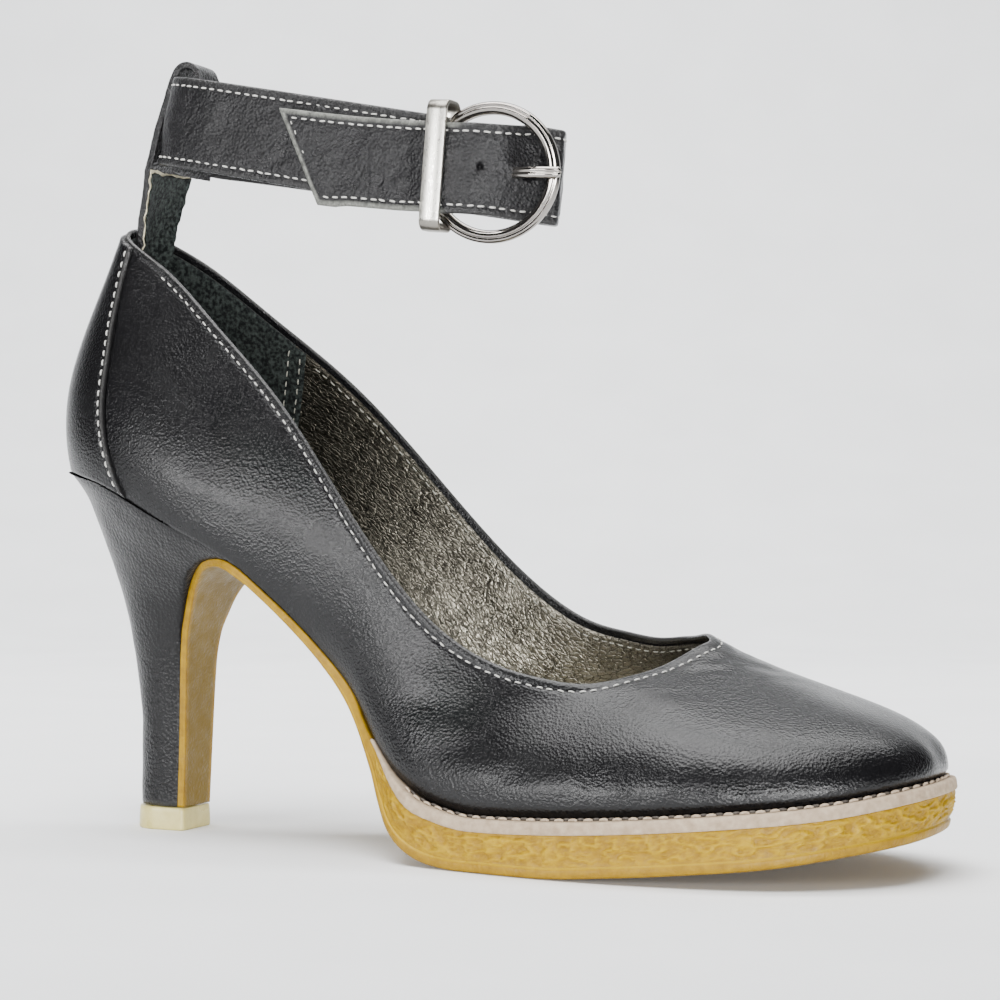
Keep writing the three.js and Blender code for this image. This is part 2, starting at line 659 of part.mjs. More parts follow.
function prism(points, halfDepth) {
  const shape = new THREE.Shape(points.map((p) => new THREE.Vector2(p.x, p.z)));
  const geometry = new THREE.ExtrudeGeometry(shape, { depth: 2 * halfDepth, bevelEnabled: false });
  return geometry.rotateX(Math.PI / 2).translate(0, halfDepth, 0);
}

function makeHeel() {
  const seatFrom = new THREE.Vector3(-seatBehind, 0, bed(-seatBehind));
  const seatTo = new THREE.Vector3(placeAlong(0.264), 0, bed(placeAlong(0.264)));
  const levels = heelRows.map((row) => {
    const half = lerp(neckWidth, seatWidth, row.flare) / 2;
    const frontHalf = lerp(neckWidth, seatWidth, row.frontFlare) / 2;
    const rear = new THREE.Vector3(row.rearAt, 0, row.rearOver).multiplyScalar(lastLength);
    const front = new THREE.Vector3(row.frontAt, 0, row.frontOver).multiplyScalar(lastLength);
    return roundedBack(lerp(neckRound, seatRound, row.flare), half, frontHalf).map(({ share, out }) => {
      const p = rear.clone().lerp(front, share);
      const chord = seatFrom.clone().lerp(seatTo, (p.x - seatFrom.x) / (seatTo.x - seatFrom.x));
      p.z += row.follow * (bed(p.x) - chord.z);
      return [p.clone().setY(-out), p.clone().setY(out)];
    });
  });
  const ahead = [];
  const seams = 40;
  const lastSeam = 0.29;
  for (let i = 0; i <= seams; i += 1) {
    const seam = lerp(soleRows[0].seam, lastSeam, i / seams);
    const along = soleUp(seam + 0.004).sub(soleUp(seam - 0.004)).normalize();
    ahead.push(soleUp(seam).addScaledVector(new THREE.Vector3(-along.z, 0, along.x), clearance));
  }
  const reach = lastLength / 2;
  ahead.unshift(ahead[0].clone().setZ(-reach));
  ahead.push(new THREE.Vector3(reach, 0, ahead[ahead.length - 1].z), new THREE.Vector3(reach, 0, -reach));
  const above = [];
  for (let i = 0; i <= 30; i += 1) above.push(underBed(lerp(-2 * seatBehind, 2 * seatBehind, i / 30), 0, clearance));
  above.push(new THREE.Vector3(2 * seatBehind, 0, lastLength), new THREE.Vector3(-2 * seatBehind, 0, lastLength));
  const block = toSolid(laid(levels));
  return fromSolid(block.subtract(toSolid(prism(ahead, ballWidth))).subtract(toSolid(prism(above, ballWidth))));
}
addPiece('heel', makeHeel(), heelLeather);

// Tread of the heel, round at the back and with rounded corners in front
function makeTopPiece() {
  const corner = 1.2;
  const plan = (grow) => {
    const half = treadWidth / 2 + grow;
    const rungs = roundedBack(0.45, half, half - 0.3);
    rungs.splice(-1, 0, { share: 1 - corner / (2 * treadLength), out: half - corner / 3 });
    rungs[rungs.length - 1].out = half - corner;
    return rungs.map(({ share, out }) => ({ x: lerp(-treadLength / 2 - grow, treadLength / 2 + grow, share), out }));
  };
  const levels = [[0, -0.35], [0.35, 0], [treadThickness - 0.4, -0.15], [treadThickness, -0.3]];
  return laid(levels.map(([z, grow]) => plan(grow).map(({ x, out }) => [
    new THREE.Vector3(x, -out, z),
    new THREE.Vector3(x, out, z),
  ])));
}
addPiece('top_piece', makeTopPiece(), paleRubber);

// The strap's own directions: ahead dips towards the front, rise stands square to it
const ahead = new THREE.Vector3(Math.cos(loopDip * degrees), 0, -Math.sin(loopDip * degrees));
const rise = new THREE.Vector3(Math.sin(loopDip * degrees), 0, Math.cos(loopDip * degrees));
const side = new THREE.Vector3(0, 1, 0);
const collarBack = upperPoint(0, 1);
const loopForward = 11.95;     // back of the loop ahead of the collar's outside
const loopBack = collarBack.clone().add(new THREE.Vector3(loopForward, 0, loopRise));

function inLoop(along, out, over) {
  return loopBack.clone().addScaledVector(ahead, along).addScaledVector(side, out).addScaledVector(rise, over);
}

// Route of the strap seen from above, from its end at the buckle's bar, back along the outer
// side of the ankle, round the heel and the inner side, round the front and back on the
// outside as the free end. along: from the back, in loop lengths, or fromRing: ahead of the
// ring's middle, in ring radii. out: in half widths of the loop, towards the inner side.
// layers: how many thicknesses of leather it lies further out. sink: how far it lies lower
// than the strap, in strap widths.
const ringAhead = loopLength - ringFromFront;
const strapRows = [
  { fromRing: -0.97, out: -1.104, layers: 0, sink: 0 },
  { along: 0.664, out: -1.089, layers: 0, sink: 0 },
  { along: 0.475, out: -1.054, layers: 0, sink: 0 },
  { along: 0.228, out: -0.976, layers: 0, sink: 0 },
  { along: 0.104, out: -0.893, layers: 0, sink: 0 },
  { along: 0.038, out: -0.738, layers: 0, sink: 0 },
  { along: 0.0057, out: -0.56, layers: 0, sink: 0 },
  { along: 0, out: -0.357, layers: 0, sink: 0 },
  { along: 0, out: 0.357, layers: 0, sink: 0 },
  { along: 0.0057, out: 0.56, layers: 0, sink: 0 },
  { along: 0.038, out: 0.75, layers: 0, sink: 0 },
  { along: 0.104, out: 0.893, layers: 0, sink: -0.02 },
  { along: 0.275, out: 0.976, layers: 0, sink: -0.05 },
  { along: 0.555, out: 0.964, layers: 0, sink: -0.08 },
  { fromRing: -0.814, out: 0.83, layers: 0, sink: -0.1 },
  { fromRing: 0.021, out: 0.583, layers: 0, sink: -0.1 },
  { fromRing: 0.384, out: 0.298, layers: 0, sink: -0.095 },
  { fromRing: 0.606, out: -0.03, layers: 0, sink: -0.09 },
  { fromRing: 0.754, out: -0.327, layers: 0, sink: -0.085 },
  { fromRing: 0.835, out: -0.56, layers: 0, sink: -0.08 },
  { fromRing: 0.761, out: -0.575, layers: 0, sink: -0.08 },
  { fromRing: 0.628, out: -0.675, layers: 0, sink: -0.075 },
  { fromRing: 0.480, out: -0.775, layers: 0, sink: -0.07 },
  { fromRing: 0.317, out: -0.93, layers: 0, sink: -0.05 },
  { fromRing: 0.118, out: -1.104, layers: 0.24, sink: -0.03 },
  { fromRing: -0.156, out: -1.104, layers: 1.38, sink: -0.005 },
  { fromRing: -0.386, out: -1.104, layers: 1.7, sink: 0.012 },
  { fromRing: -0.58, out: -1.104, layers: 1.8, sink: 0.035 },
  { fromRing: -0.82, out: -1.104, layers: 1.82, sink: 0.048 },
  { fromRing: -1.03, out: -1.1, layers: 1.58, sink: 0.058 },
  { along: 0.664, out: -1.089, layers: 1.2, sink: 0.08 },
  { along: 0.57, out: -1.072, layers: 1.18, sink: 0.115 },
  { along: 0.475, out: -1.054, layers: 1.18, sink: 0.15 },
  { along: 0.4, out: -1.035, layers: 1.18, sink: 0.17 },
];
const strapRoute = new THREE.CatmullRomCurve3(strapRows.map((row) => new THREE.Vector3(
  row.fromRing === undefined ? row.along * loopLength : ringAhead + row.fromRing * ringRadius,
  row.out * loopHalfWidth - row.layers * strapThickness,
  -row.sink * strapWidth,
)), false, 'centripetal');
const freeEndWidth = 20.3;
const foldLean = 0.1;          // the bend in front leans back less than the strap does
const freeEndSlant = 0.7;      // how far the free end's cut runs back for each step up
const slantFrom = 0.95;        // share of the route where the strap begins to take the slant
const foldFrom = 0.42;
const narrowFrom = 0.66;       // and where it begins to narrow to the free end
const narrowTo = 0.74;

// The ring's middle, in the strap's own directions, and its turn towards the strap's bend
const ringOut = -1.07 * loopHalfWidth;
const ringOver = strapWidth / 2;
const ringTurn = 7 * degrees;
const prongSlope = 0.148;      // the prong points up a little from the strap's direction

function inRing(along, out, over) {
  return inLoop(
    ringAhead + along * Math.cos(ringTurn) - out * Math.sin(ringTurn),
    ringOut + out * Math.cos(ringTurn) + along * Math.sin(ringTurn),
    ringOver + over,
  );
}

function makeStrap() {
  const steps = 120;
  const rings = [];
  for (let i = 0; i <= steps; i += 1) {
    const t = i / steps;
    const p = strapRoute.getPoint(t);
    const tangent = strapRoute.getTangent(t).setZ(0).normalize();
    const out = new THREE.Vector2(tangent.y, -tangent.x).multiplyScalar(strapThickness / 2);
    const slant = freeEndSlant * clamp01((t - slantFrom) / (1 - slantFrom))
      + foldLean * ease((t - foldFrom) / 0.08) * (1 - ease((t - narrowFrom) / (narrowTo - narrowFrom)));
    const width = lerp(strapWidth, freeEndWidth, ease((t - narrowFrom) / (narrowTo - narrowFrom)));
    rings.push([[1, 0], [1, 1], [-1, 1], [-1, 0]].map(([face, edge]) => {
      const over = strapWidth / 2 + (edge - 0.5) * width;
      const shift = -slant * (over - strapWidth / 2);
      return inLoop(p.x + face * out.x + shift, p.y + face * out.y, p.z + over);
    }));
  }
  const band = toSolid(skin(rings, false));
  return fromSolid(band.subtract(toSolid(prongSlot())).subtract(toSolid(spareHole())));
}

// Closed block along the strap's directions, centred on the ring
function ringBlock(from, to, out, over, halfOut, halfOver) {
  const ends = [from, to].map((along) => [[-1, -1], [-1, 1], [1, 1], [1, -1]].map(([a, b]) => (
    inRing(along, out + a * halfOut, over + b * halfOver + along * prongSlope)
  )));
  return skin(ends, false);
}

const slotFrom = 1.5;          // the prong's slot, ahead of the ring's middle
const slotTo = 8.4;
const spareAt = -1.8;          // the spare hole
const spareOver = 0.7;
const spareRadius = 1;

function prongSlot() {
  return ringBlock(slotFrom, slotTo, 0, 0, 2 * strapThickness, prongWidth / 2 + clearance);
}

function spareHole() {
  const reach = 2.6;
  const ends = [-reach - strapThickness, reach - strapThickness].map((out) => Array.from({ length: 10 }, (_, k) => {
    const angle = (k / 10) * 2 * Math.PI;
    return inRing(spareAt + spareRadius * Math.cos(angle), out, spareOver + spareRadius * Math.sin(angle));
  }));
  return skin(ends, false);
}
addPiece('ankle_strap', makeStrap(), blackLeather);

// Buckle ring: round in front, with a straight bar behind under the free end
function ringPath() {
  const points = [];
  const arcs = 16;
  const reach = 130 * degrees;
  for (let i = 0; i <= arcs; i += 1) {
    const angle = lerp(-reach, reach, i / arcs);
    points.push([ringRadius * Math.cos(angle), ringRadius * Math.sin(angle)]);
  }
  const shoulder = [[0.9, 0.66], [0.985, 0.5], [1, 0.25]];
  shoulder.forEach(([behind, over]) => points.push([-behind * barBehind, over * ringRadius]));
  points.push([-barBehind, 0]);
  shoulder.reverse().forEach(([behind, over]) => points.push([-behind * barBehind, -over * ringRadius]));
  return new THREE.CatmullRomCurve3(points.map(([x, y]) => new THREE.Vector3(x, y, 0)), true, 'centripetal');
}

function makeRing() {
  const path = ringPath();
  const steps = 48;
  const facets = 8;
  const rings = [];
  for (let i = 0; i < steps; i += 1) {
    const p = path.getPointAt(i / steps);
    const tangent = path.getTangentAt(i / steps);
    const radius = lerp(barRadius, wireRadius, ease((p.x + barBehind) / 1.5));
    rings.push(Array.from({ length: facets }, (_, k) => {
      const angle = (k / facets) * 2 * Math.PI;
      const level = radius * Math.cos(angle);
      return inRing(p.x + tangent.y * level, radius * Math.sin(angle), p.y - tangent.x * level);
    }));
  }
  return skin(rings, true);
}
addPiece('buckle_frame', makeRing(), darkNickel);

// Prong: from beside the bar, out through the slot and over the ring. along: in ring radii
// from the ring's middle. out: from the ring's plane, inwards.
function makeProng() {
  const rest = wireRadius + clearance + prongDepth / 2;
  const start = -barBehind + barRadius + clearance;
  const slotRows = [[-1, 0.75], [1, 1.15], [3, 1.05], [4.6, 0.35], [6.4, -0.8], [8.5, -1.9], [10.5, -2.5]];
  const tip = ringRadius + wireRadius + 0.7;
  const rows = [[start, 0.25], ...slotRows, [12.6, -rest], [ringRadius, -rest], [tip, -rest + 0.5]];
  const path = new THREE.CatmullRomCurve3(rows.map(([x, y]) => new THREE.Vector3(x, y, 0)), false, 'centripetal');
  const steps = 24;
  const facets = 8;
  const rings = [];
  for (let i = 0; i <= steps; i += 1) {
    const p = path.getPoint(i / steps);
    const tangent = path.getTangent(i / steps);
    const taper = i > steps - 3 ? lerp(1, 0.5, (i - steps + 3) / 3) : 1;
    rings.push(Array.from({ length: facets }, (_, k) => {
      const angle = (k / facets) * 2 * Math.PI;
      const thick = (prongDepth / 2) * taper * Math.sin(angle);
      const wide = (prongWidth / 2) * taper * Math.cos(angle);
      return inRing(p.x - tangent.y * thick, p.y + tangent.x * thick, wide + p.x * prongSlope);
    }));
  }
  return skin(rings, false);
}
addPiece('buckle_prong', makeProng(), darkNickel);

// Keeper: a flat metal band bent round both layers of the strap behind the buckle
function makeKeeper() {
  const lean = keeperLean * degrees;
  const leanAhead = ahead.clone().multiplyScalar(Math.cos(lean)).addScaledVector(rise, Math.sin(lean));
  const leanRise = rise.clone().multiplyScalar(Math.cos(lean)).addScaledVector(ahead, -Math.sin(lean));
  const halfHeight = strapWidth / 2 + keeperRoom;
  const layersIn = -1.104 * loopHalfWidth;
  const inner = layersIn + strapThickness / 2 + clearance + 0.2;
  const outer = layersIn - 1.82 * strapThickness - strapThickness / 2 - clearance - 0.25;
  const middle = inLoop(ringAhead - keeperBehind, (inner + outer) / 2, strapWidth / 2 - keeperLow);
  const outline = (grow, radius) => {
    const x = (inner - outer) / 2 + grow;
    const y = halfHeight + grow;
    const shape = new THREE.Path();
    shape.absarc(x - radius, y - radius, radius, 0, Math.PI / 2);
    shape.absarc(-x + radius, y - radius, radius, Math.PI / 2, Math.PI);
    shape.absarc(-x + radius, -y + radius, radius, Math.PI, 1.5 * Math.PI);
    shape.absarc(x - radius, -y + radius, radius, 1.5 * Math.PI, 2 * Math.PI);
    return shape.getPoints(5);
  };
  const band = new THREE.Shape(outline(keeperThickness, keeperBend + keeperThickness));
  band.holes.push(new THREE.Path(outline(0, keeperBend)));
  const geometry = new THREE.ExtrudeGeometry(band, { depth: keeperWidth, bevelEnabled: false, curveSegments: 5 });
  geometry.translate(0, 0, -keeperWidth / 2);
  const place = new THREE.Matrix4().makeBasis(side, leanRise, leanAhead).setPosition(middle);
  return fromSolid(toSolid(geometry.applyMatrix4(place)));
}
addPiece('strap_keeper', makeKeeper(), brightNickel);

// Back tab: stands up inside the collar, goes over the strap and comes down inside it. Its
// middle is followed from the foot to the end. wide: in tab widths. thick: in tab
// thicknesses. bow: how far its edges come forward, in tab widths.
const tabGap = clearance + 0.15;
const tabRise = [
  { share: 0.12, wide: 0.88, bow: 0.14 },
  { share: 0.37, wide: 0.95, bow: 0.105 },
  { share: 0.66, wide: 1, bow: 0.045 },
  { share: 0.87, wide: 1.1, bow: 0.01 },
];
const tabEnd = 0.6;            // thickness of the end that comes down inside
const tabHang = 1.3;           // how far that end shows under the strap
const foldLoose = 2.2;         // how far the fold over the strap stands off inside

function tabRows() {
  const half = tabThickness / 2;
  const endHalf = half * tabEnd;
  const behind = -strapThickness / 2 - tabGap - half;
  const inside = strapThickness / 2 + tabGap + endHalf;
  const rows = [];
  const depth = wall + clearance + half;
  const footSteps = 3;
  const footReach = tabFoot / backHeight;
  for (let i = 0; i < footSteps; i += 1) {
    const v = 1 - footReach * (1 - i / footSteps);
    rows.push({ at: wallPoint(0, v, depth), wide: 0.78, thick: 1, bow: 0.23 });
  }
  const from = wallPoint(0, 1, depth);
  const to = inLoop(behind, 0, 0);
  tabRise.forEach((row) => rows.push({
    at: from.clone().lerp(to, row.share),
    wide: row.wide,
    thick: 1,
    bow: row.bow,
  }));
  [[0, 1.12], [0.35, 1.08], [0.7, 1], [0.97, 0.94]].forEach(([share, wide]) => rows.push({
    at: inLoop(behind, 0, share * strapWidth), wide, thick: 1, bow: 0,
  }));
  const top = strapWidth + tabGap + 0.6;
  const radius = (inside + foldLoose - behind) / 2;
  const arcs = 6;
  for (let i = 1; i < arcs; i += 1) {
    const angle = Math.PI * (i / arcs);
    const p = inLoop(behind + radius - radius * Math.cos(angle), 0, top + radius * Math.sin(angle));
    rows.push({ at: p, wide: 0.86, thick: lerp(1, tabEnd, i / arcs), bow: 0 });
  }
  [[0.97, 1], [0.6, 0.35], [0.25, 0.08], [0.04, 0]].forEach(([share, loose]) => rows.push({
    at: inLoop(inside + loose * foldLoose, 0, share * strapWidth), wide: lerp(1, 0.9, share), thick: tabEnd, bow: 0.06,
  }));
  rows.push({ at: inLoop(inside, 0, -tabHang), wide: 1, thick: tabEnd, bow: 0.06 });
  return rows;
}

function makeBackTab() {
  const rows = tabRows();
  const path = new THREE.CatmullRomCurve3(rows.map((row) => row.at), false, 'centripetal');
  const perRow = 2;
  const steps = (rows.length - 1) * perRow;
  const spread = [-1, -0.5, 0, 0.5, 1];
  const rings = [];
  for (let i = 0; i <= steps; i += 1) {
    const t = i / steps;
    const place = t * (rows.length - 1);
    const k = Math.min(Math.floor(place), rows.length - 2);
    const mix = (key) => lerp(rows[k][key], rows[k + 1][key], place - k);
    const p = path.getPoint(t);
    const tangent = path.getTangent(t);
    const normal = new THREE.Vector3(tangent.z, 0, -tangent.x);
    const half = (tabThickness / 2) * mix('thick');
    const row = (face) => spread.map((s) => p.clone().addScaledVector(normal, face * half)
      .addScaledVector(side, (s * mix('wide') * tabWidth) / 2)
      .add(new THREE.Vector3(s * s * mix('bow') * tabWidth, 0, 0)));
    rings.push([...row(1), ...row(-1).reverse()]);
  }
  return stripSkin(rings);
}
addPiece('back_tab', makeBackTab(), blackLeather);

export default shoe;
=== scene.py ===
# Looks of the right shoe of a pair of ankle strap pumps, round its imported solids.
# Shapes are worked out in millimetres: X from heel to toe, Y to the inner side of the foot,
# Z up, with the middle of the heel's tread on the floor at the origin. Meshes are in metres.
import math

import bmesh
import bpy
import numpy as np
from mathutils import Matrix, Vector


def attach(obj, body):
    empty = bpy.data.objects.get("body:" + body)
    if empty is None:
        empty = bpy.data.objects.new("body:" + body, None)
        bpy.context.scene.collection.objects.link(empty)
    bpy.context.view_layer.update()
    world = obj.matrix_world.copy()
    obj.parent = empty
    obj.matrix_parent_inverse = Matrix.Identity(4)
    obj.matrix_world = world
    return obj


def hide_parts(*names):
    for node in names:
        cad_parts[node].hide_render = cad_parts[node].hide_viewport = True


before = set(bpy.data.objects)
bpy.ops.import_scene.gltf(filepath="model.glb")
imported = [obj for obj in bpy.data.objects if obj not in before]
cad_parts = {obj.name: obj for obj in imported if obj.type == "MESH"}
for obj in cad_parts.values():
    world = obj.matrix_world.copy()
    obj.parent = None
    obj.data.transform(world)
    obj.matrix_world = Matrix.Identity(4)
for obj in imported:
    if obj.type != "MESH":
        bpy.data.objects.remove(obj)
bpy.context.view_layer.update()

up = np.array([0.0, 0.0, 1.0])


# Value at share t of the way from a to b: a plus t times the difference
def lerp(a, b, t):
    return a + (b - a) * t


# Slow start and slow end between 0 and 1
def ease(t):
    t = np.clip(t, 0, 1)
    return t * t * (3 - 2 * t)


# Vectors divided by their lengths
def unit(vectors):
    return vectors / np.maximum(np.linalg.norm(vectors, axis=-1, keepdims=True), 1e-12)


# Points from three coordinates, each a number or an array
def stack(x, y, z):
    return np.stack(np.broadcast_arrays(x, y, z), -1).astype(float)


# One hump of height 1 round the middle, as wide as spread to each side
def hump(distance, spread):
    return np.exp(-((distance / spread) ** 2))


# Curve through a table's rows that never overshoots them: cubics between the rows, with the
# harmonic mean of the two neighbouring slopes at each
def through(xs, ys, at):
    xs, ys, at = (np.asarray(a, float) for a in (xs, ys, at))
    gaps = np.diff(xs)
    slope = np.diff(ys) / gaps
    same = slope[:-1] * slope[1:] > 0
    mean = 2 * slope[:-1] * slope[1:] / np.where(same, slope[:-1] + slope[1:], 1)
    tangent = np.concatenate([slope[:1], np.where(same, mean, 0), slope[-1:]])
    i = np.clip(np.searchsorted(xs, at) - 1, 0, len(xs) - 2)
    h = gaps[i]
    t = (at - xs[i]) / h
    keep = (1 + 2 * t) * (1 - t) ** 2
    turn = t * t * (3 - 2 * t)
    bend = h * (t * (1 - t) ** 2 * tangent[i] - t * t * (1 - t) * tangent[i + 1])
    inside = keep * ys[i] + turn * ys[i + 1] + bend
    before = ys[0] + tangent[0] * (at - xs[0])
    after = ys[-1] + tangent[-1] * (at - xs[-1])
    return np.where(at <= xs[0], before, np.where(at >= xs[-1], after, inside))


# Control points of the closed curve of even curvature through the given points
def closedRail(points):
    held = points.copy()
    for _ in range(60):
        held = (6 * points - np.roll(held, 1, 0) - np.roll(held, -1, 0)) / 4
    return held


# Point on such a rail, one unit of u from control point to control point
def onRail(held, u):
    u = np.asarray(u, float)
    start = np.floor(u).astype(int)
    t = (u - start)[..., None]
    weights = [(1 - t) ** 3, 3 * t**3 - 6 * t * t + 4, -3 * t**3 + 3 * t * t + 3 * t + 1, t**3]
    return sum(w * held[(start + k - 1) % len(held)] for k, w in enumerate(weights)) / 6


# Smooth curve through points, its speed by the square root of their distances. t: 0 to 1
def onRoute(points, t, closed=False):
    points = np.asarray(points, float)
    count = len(points) if closed else len(points) - 1
    if closed:
        padded = np.vstack([points[-1:], points, points[:2]])
    else:
        padded = np.vstack([2 * points[:1] - points[1:2], points, 2 * points[-1:] - points[-2:-1]])
    gaps = np.sqrt(np.linalg.norm(np.diff(padded, axis=0), axis=1))[:, None]
    place = np.clip(t, 0, 1) * count
    i = np.minimum(place.astype(int), count - 1)
    w = (place - i)[..., None]
    p0, p1, p2, p3 = (padded[i + k] for k in range(4))
    d0, d1, d2 = (gaps[i + k] for k in range(3))
    m1 = d1 * ((p1 - p0) / d0 - (p2 - p0) / (d0 + d1) + (p2 - p1) / d1)
    m2 = d1 * ((p2 - p1) / d1 - (p3 - p1) / (d1 + d2) + (p3 - p2) / d2)
    return p1 + w * m1 + w * w * (3 * (p2 - p1) - 2 * m1 - m2) + w**3 * (2 * (p1 - p2) + m1 + m2)


# Distance run along a path at each of its points
def runLength(path):
    return np.concatenate([[0], np.cumsum(np.linalg.norm(np.diff(path, axis=0), axis=1))])


# Points at distances along a path, straight between its own points. run: where those lie
def alongPath(path, run, at):
    return np.stack([np.interp(at, run, path[:, k]) for k in range(3)], -1)


# Step along a route about t, from a little before it to a little after
def routeStep(points, t, step):
    return onRoute(points, np.minimum(1, t + step)) - onRoute(points, np.maximum(0, t - step))


# Random unevenness between about -1 and 1: many waves of about one size in all directions
def unevenness(points, size, seed, stretch=(1, 1, 1)):
    rng = np.random.default_rng(seed)
    count = 26
    waves = unit(rng.normal(size=(count, 3))) / (size * rng.uniform(0.75, 1.6, (count, 1)))
    angles = (points / np.array(stretch)) @ (2 * np.pi * waves.T) + rng.uniform(0, 2 * np.pi, count)
    return np.cos(angles).sum(-1) * math.sqrt(2 / count) * 0.6


# Wrinkles: sharp ridges where the unevenness passes through zero
def wrinkles(points, size, seed, stretch=(1, 1, 1)):
    return 1 - np.minimum(1, 2.6 * np.abs(unevenness(points, size, seed, stretch)))


# The last, in millimetres, and the sizes that the pieces on it share
last = {
    "length": 217.5,
    "seatBehind": 26.5,
    "ballWidth": 76,
    "heelHeight": 86,
    "foreHeight": 11.9,
    "toeSpring": 9.7,
    "backHeight": 59.6,
    "wall": 1.8,
    "clearance": 0.3,
}

# Foot line over the floor: lift from the ball's height to the seat's, and share of the spring
bedTable = {
    "at": [0, 0.076, 0.168, 0.25, 0.306, 0.352, 0.398, 0.434, 0.467, 0.508, 0.563, 0.637, 0.729, 0.821,
           0.913, 1],
    "lift": [1, 0.96, 0.843, 0.727, 0.597, 0.473, 0.341, 0.19, 0.09, 0.027, 0, 0, 0, 0, 0, 0],
    "spring": [0, 0, 0, 0, 0, 0, 0, 0, 0, 0, 0, 0.05, 0.19, 0.38, 0.61, 1],
}


# Place along the floor: the share times the last's length, less what lies behind the tread
def placeAlong(share):
    return share * last["length"] - last["seatBehind"]


# Share of the last's length at such a place
def shareAlong(x):
    return (x + last["seatBehind"]) / last["length"]


# Height of the foot line: the ball's height, plus the lift times the way up to the seat, plus
# its share of the toe spring
def bed(x):
    lift = through(bedTable["at"], bedTable["lift"], shareAlong(x))
    spring = through(bedTable["at"], bedTable["spring"], shareAlong(x))
    return last["foreHeight"] + lift * (last["heelHeight"] - last["foreHeight"]) + spring * last["toeSpring"]


# Point at a depth under the foot line, square to it
def underBed(x, y, depth):
    slope = bed(x + 0.5) - bed(x - 0.5)
    scale = depth / np.hypot(1, slope)
    return stack(x + slope * scale, y, bed(x) - scale)


# Sections of the upper from heel to toe, as shares of the last's length, of the ball's width
# and of the height at the back
upperTable = {
    "at": [0.01, 0.0325, 0.087, 0.168, 0.26, 0.343, 0.411, 0.485, 0.577, 0.678, 0.779, 0.868, 0.9395,
           0.979, 0.9885],
    "lateral": [0, 0.165, 0.267, 0.313, 0.316, 0.289, 0.325, 0.412, 0.474, 0.5, 0.484, 0.425, 0.296,
                0.138, -0.033],
    "medial": [0, 0.165, 0.262, 0.307, 0.296, 0.257, 0.289, 0.395, 0.467, 0.5, 0.49, 0.44, 0.33, 0.19,
               0.033],
    "rimAt": [0.0715, 0.085, 0.1425, 0.214, 0.306, 0.398, 0.485, 0.559, 0.614, 0.6575, 0.691, 0.715,
              0.733, 0.744, 0.7475],
    "rimLateral": [0, 0.113, 0.147, 0.192, 0.25, 0.31, 0.347, 0.349, 0.334, 0.308, 0.242, 0.147, 0.068,
                   0.0105, -0.026],
    "rimMedial": [0, 0.113, 0.147, 0.204, 0.27, 0.329, 0.363, 0.372, 0.342, 0.289, 0.23, 0.166, 0.108,
                  0.0605, 0.026],
    "riseLateral": [1, 0.957, 0.859, 0.763, 0.61, 0.451, 0.359, 0.48, 0.495, 0.463, 0.457, 0.458, 0.468,
                    0.468, 0.473],
    "riseMedial": [1, 0.98, 0.9, 0.822, 0.705, 0.597, 0.52, 0.615, 0.631, 0.597, 0.576, 0.554, 0.53,
                   0.495, 0.473],
    "steep": [0.37, 0.37, 0.36, 0.34, 0.33, 0.32, 0.28, 0.3, 0.35, 0.36, 0.31, 0.28, 0.26, 0.26, 0.26],
    "swell": [0.1, 0.1, 0.1, 0.1, 0.1, 0.1, 0.09, 0.08, 0.09, 0.09, 0.07, 0.05, 0.04, 0.04, 0.04],
    "crown": [0.1, 0.1, 0.1, 0.08, 0.09, 0.13, 0.2, 0.17, 0.13, 0.19, 0.31, 0.35, 0.37, 0.37, 0.37],
    "drop": [0.33, 0.33, 0.33, 0.33, 0.32, 0.3, 0.27, 0.29, 0.3, 0.26, 0.15, 0.16, 0.2, 0.22, 0.225],
    "shoulder": [0, 0, 0.02, 0.05, 0.07, 0.07, 0.06, 0.05, 0.04, 0.03, 0.02, 0, 0, 0, 0],
}
toeRow = len(upperTable["at"]) - 1
around = 2 * toeRow


# Rails of the upper: foot line, two lines between, topline. The wall first goes up and out
# from the foot line, and comes to the topline from behind and below.
def upperRails():
    k = np.arange(around)
    lateral = k <= toeRow
    row = np.where(lateral, k, around - k)
    part = {name: np.array(values, float)[row] for name, values in upperTable.items()}
    side = np.where(lateral, -1, 1)
    x = placeAlong(part["at"])
    footOut = np.where(lateral, part["lateral"], part["medial"]) * last["ballWidth"]
    rimOut = np.where(lateral, part["rimLateral"], part["rimMedial"]) * last["ballWidth"]
    rise = np.where(lateral, part["riseLateral"], part["riseMedial"]) * last["backHeight"]
    foot = stack(x, side * footOut, bed(x))
    rim = stack(placeAlong(part["rimAt"]), side * rimOut, bed(x) + rise)
    along = unit((np.roll(foot, -1, 0) - np.roll(foot, 1, 0)) * [1, 1, 0])
    outward = stack(along[:, 1], -along[:, 0], 0)
    way = rim - foot
    length = np.linalg.norm(way, axis=1)[:, None]
    level = unit(way * [1, 1, 0])
    names = ("steep", "swell", "crown", "drop", "shoulder")
    share = {name: part[name][:, None] * length for name in names}
    low = foot + up * share["steep"] + outward * share["swell"]
    high = rim - level * share["crown"] - up * share["drop"] + outward * share["shoulder"]
    return [closedRail(points) for points in (foot, low, high, rim)]


footRail, lowRail, highRail, rimRail = upperRails()


# Outside of the upper: u round the shoe (0 back, 14 toe, medial side after it), v from the
# foot line to the topline
def upperPoint(u, v):
    u, v = np.broadcast_arrays(np.asarray(u, float), np.asarray(v, float))
    w = (1 - v)[..., None]
    s = v[..., None]
    foot = onRail(footRail, u)
    foot[..., 2] = bed(foot[..., 0])
    between = onRail(lowRail, u) * 3 * w * w * s + onRail(highRail, u) * 3 * w * s * s
    return foot * w**3 + between + onRail(rimRail, u) * s**3


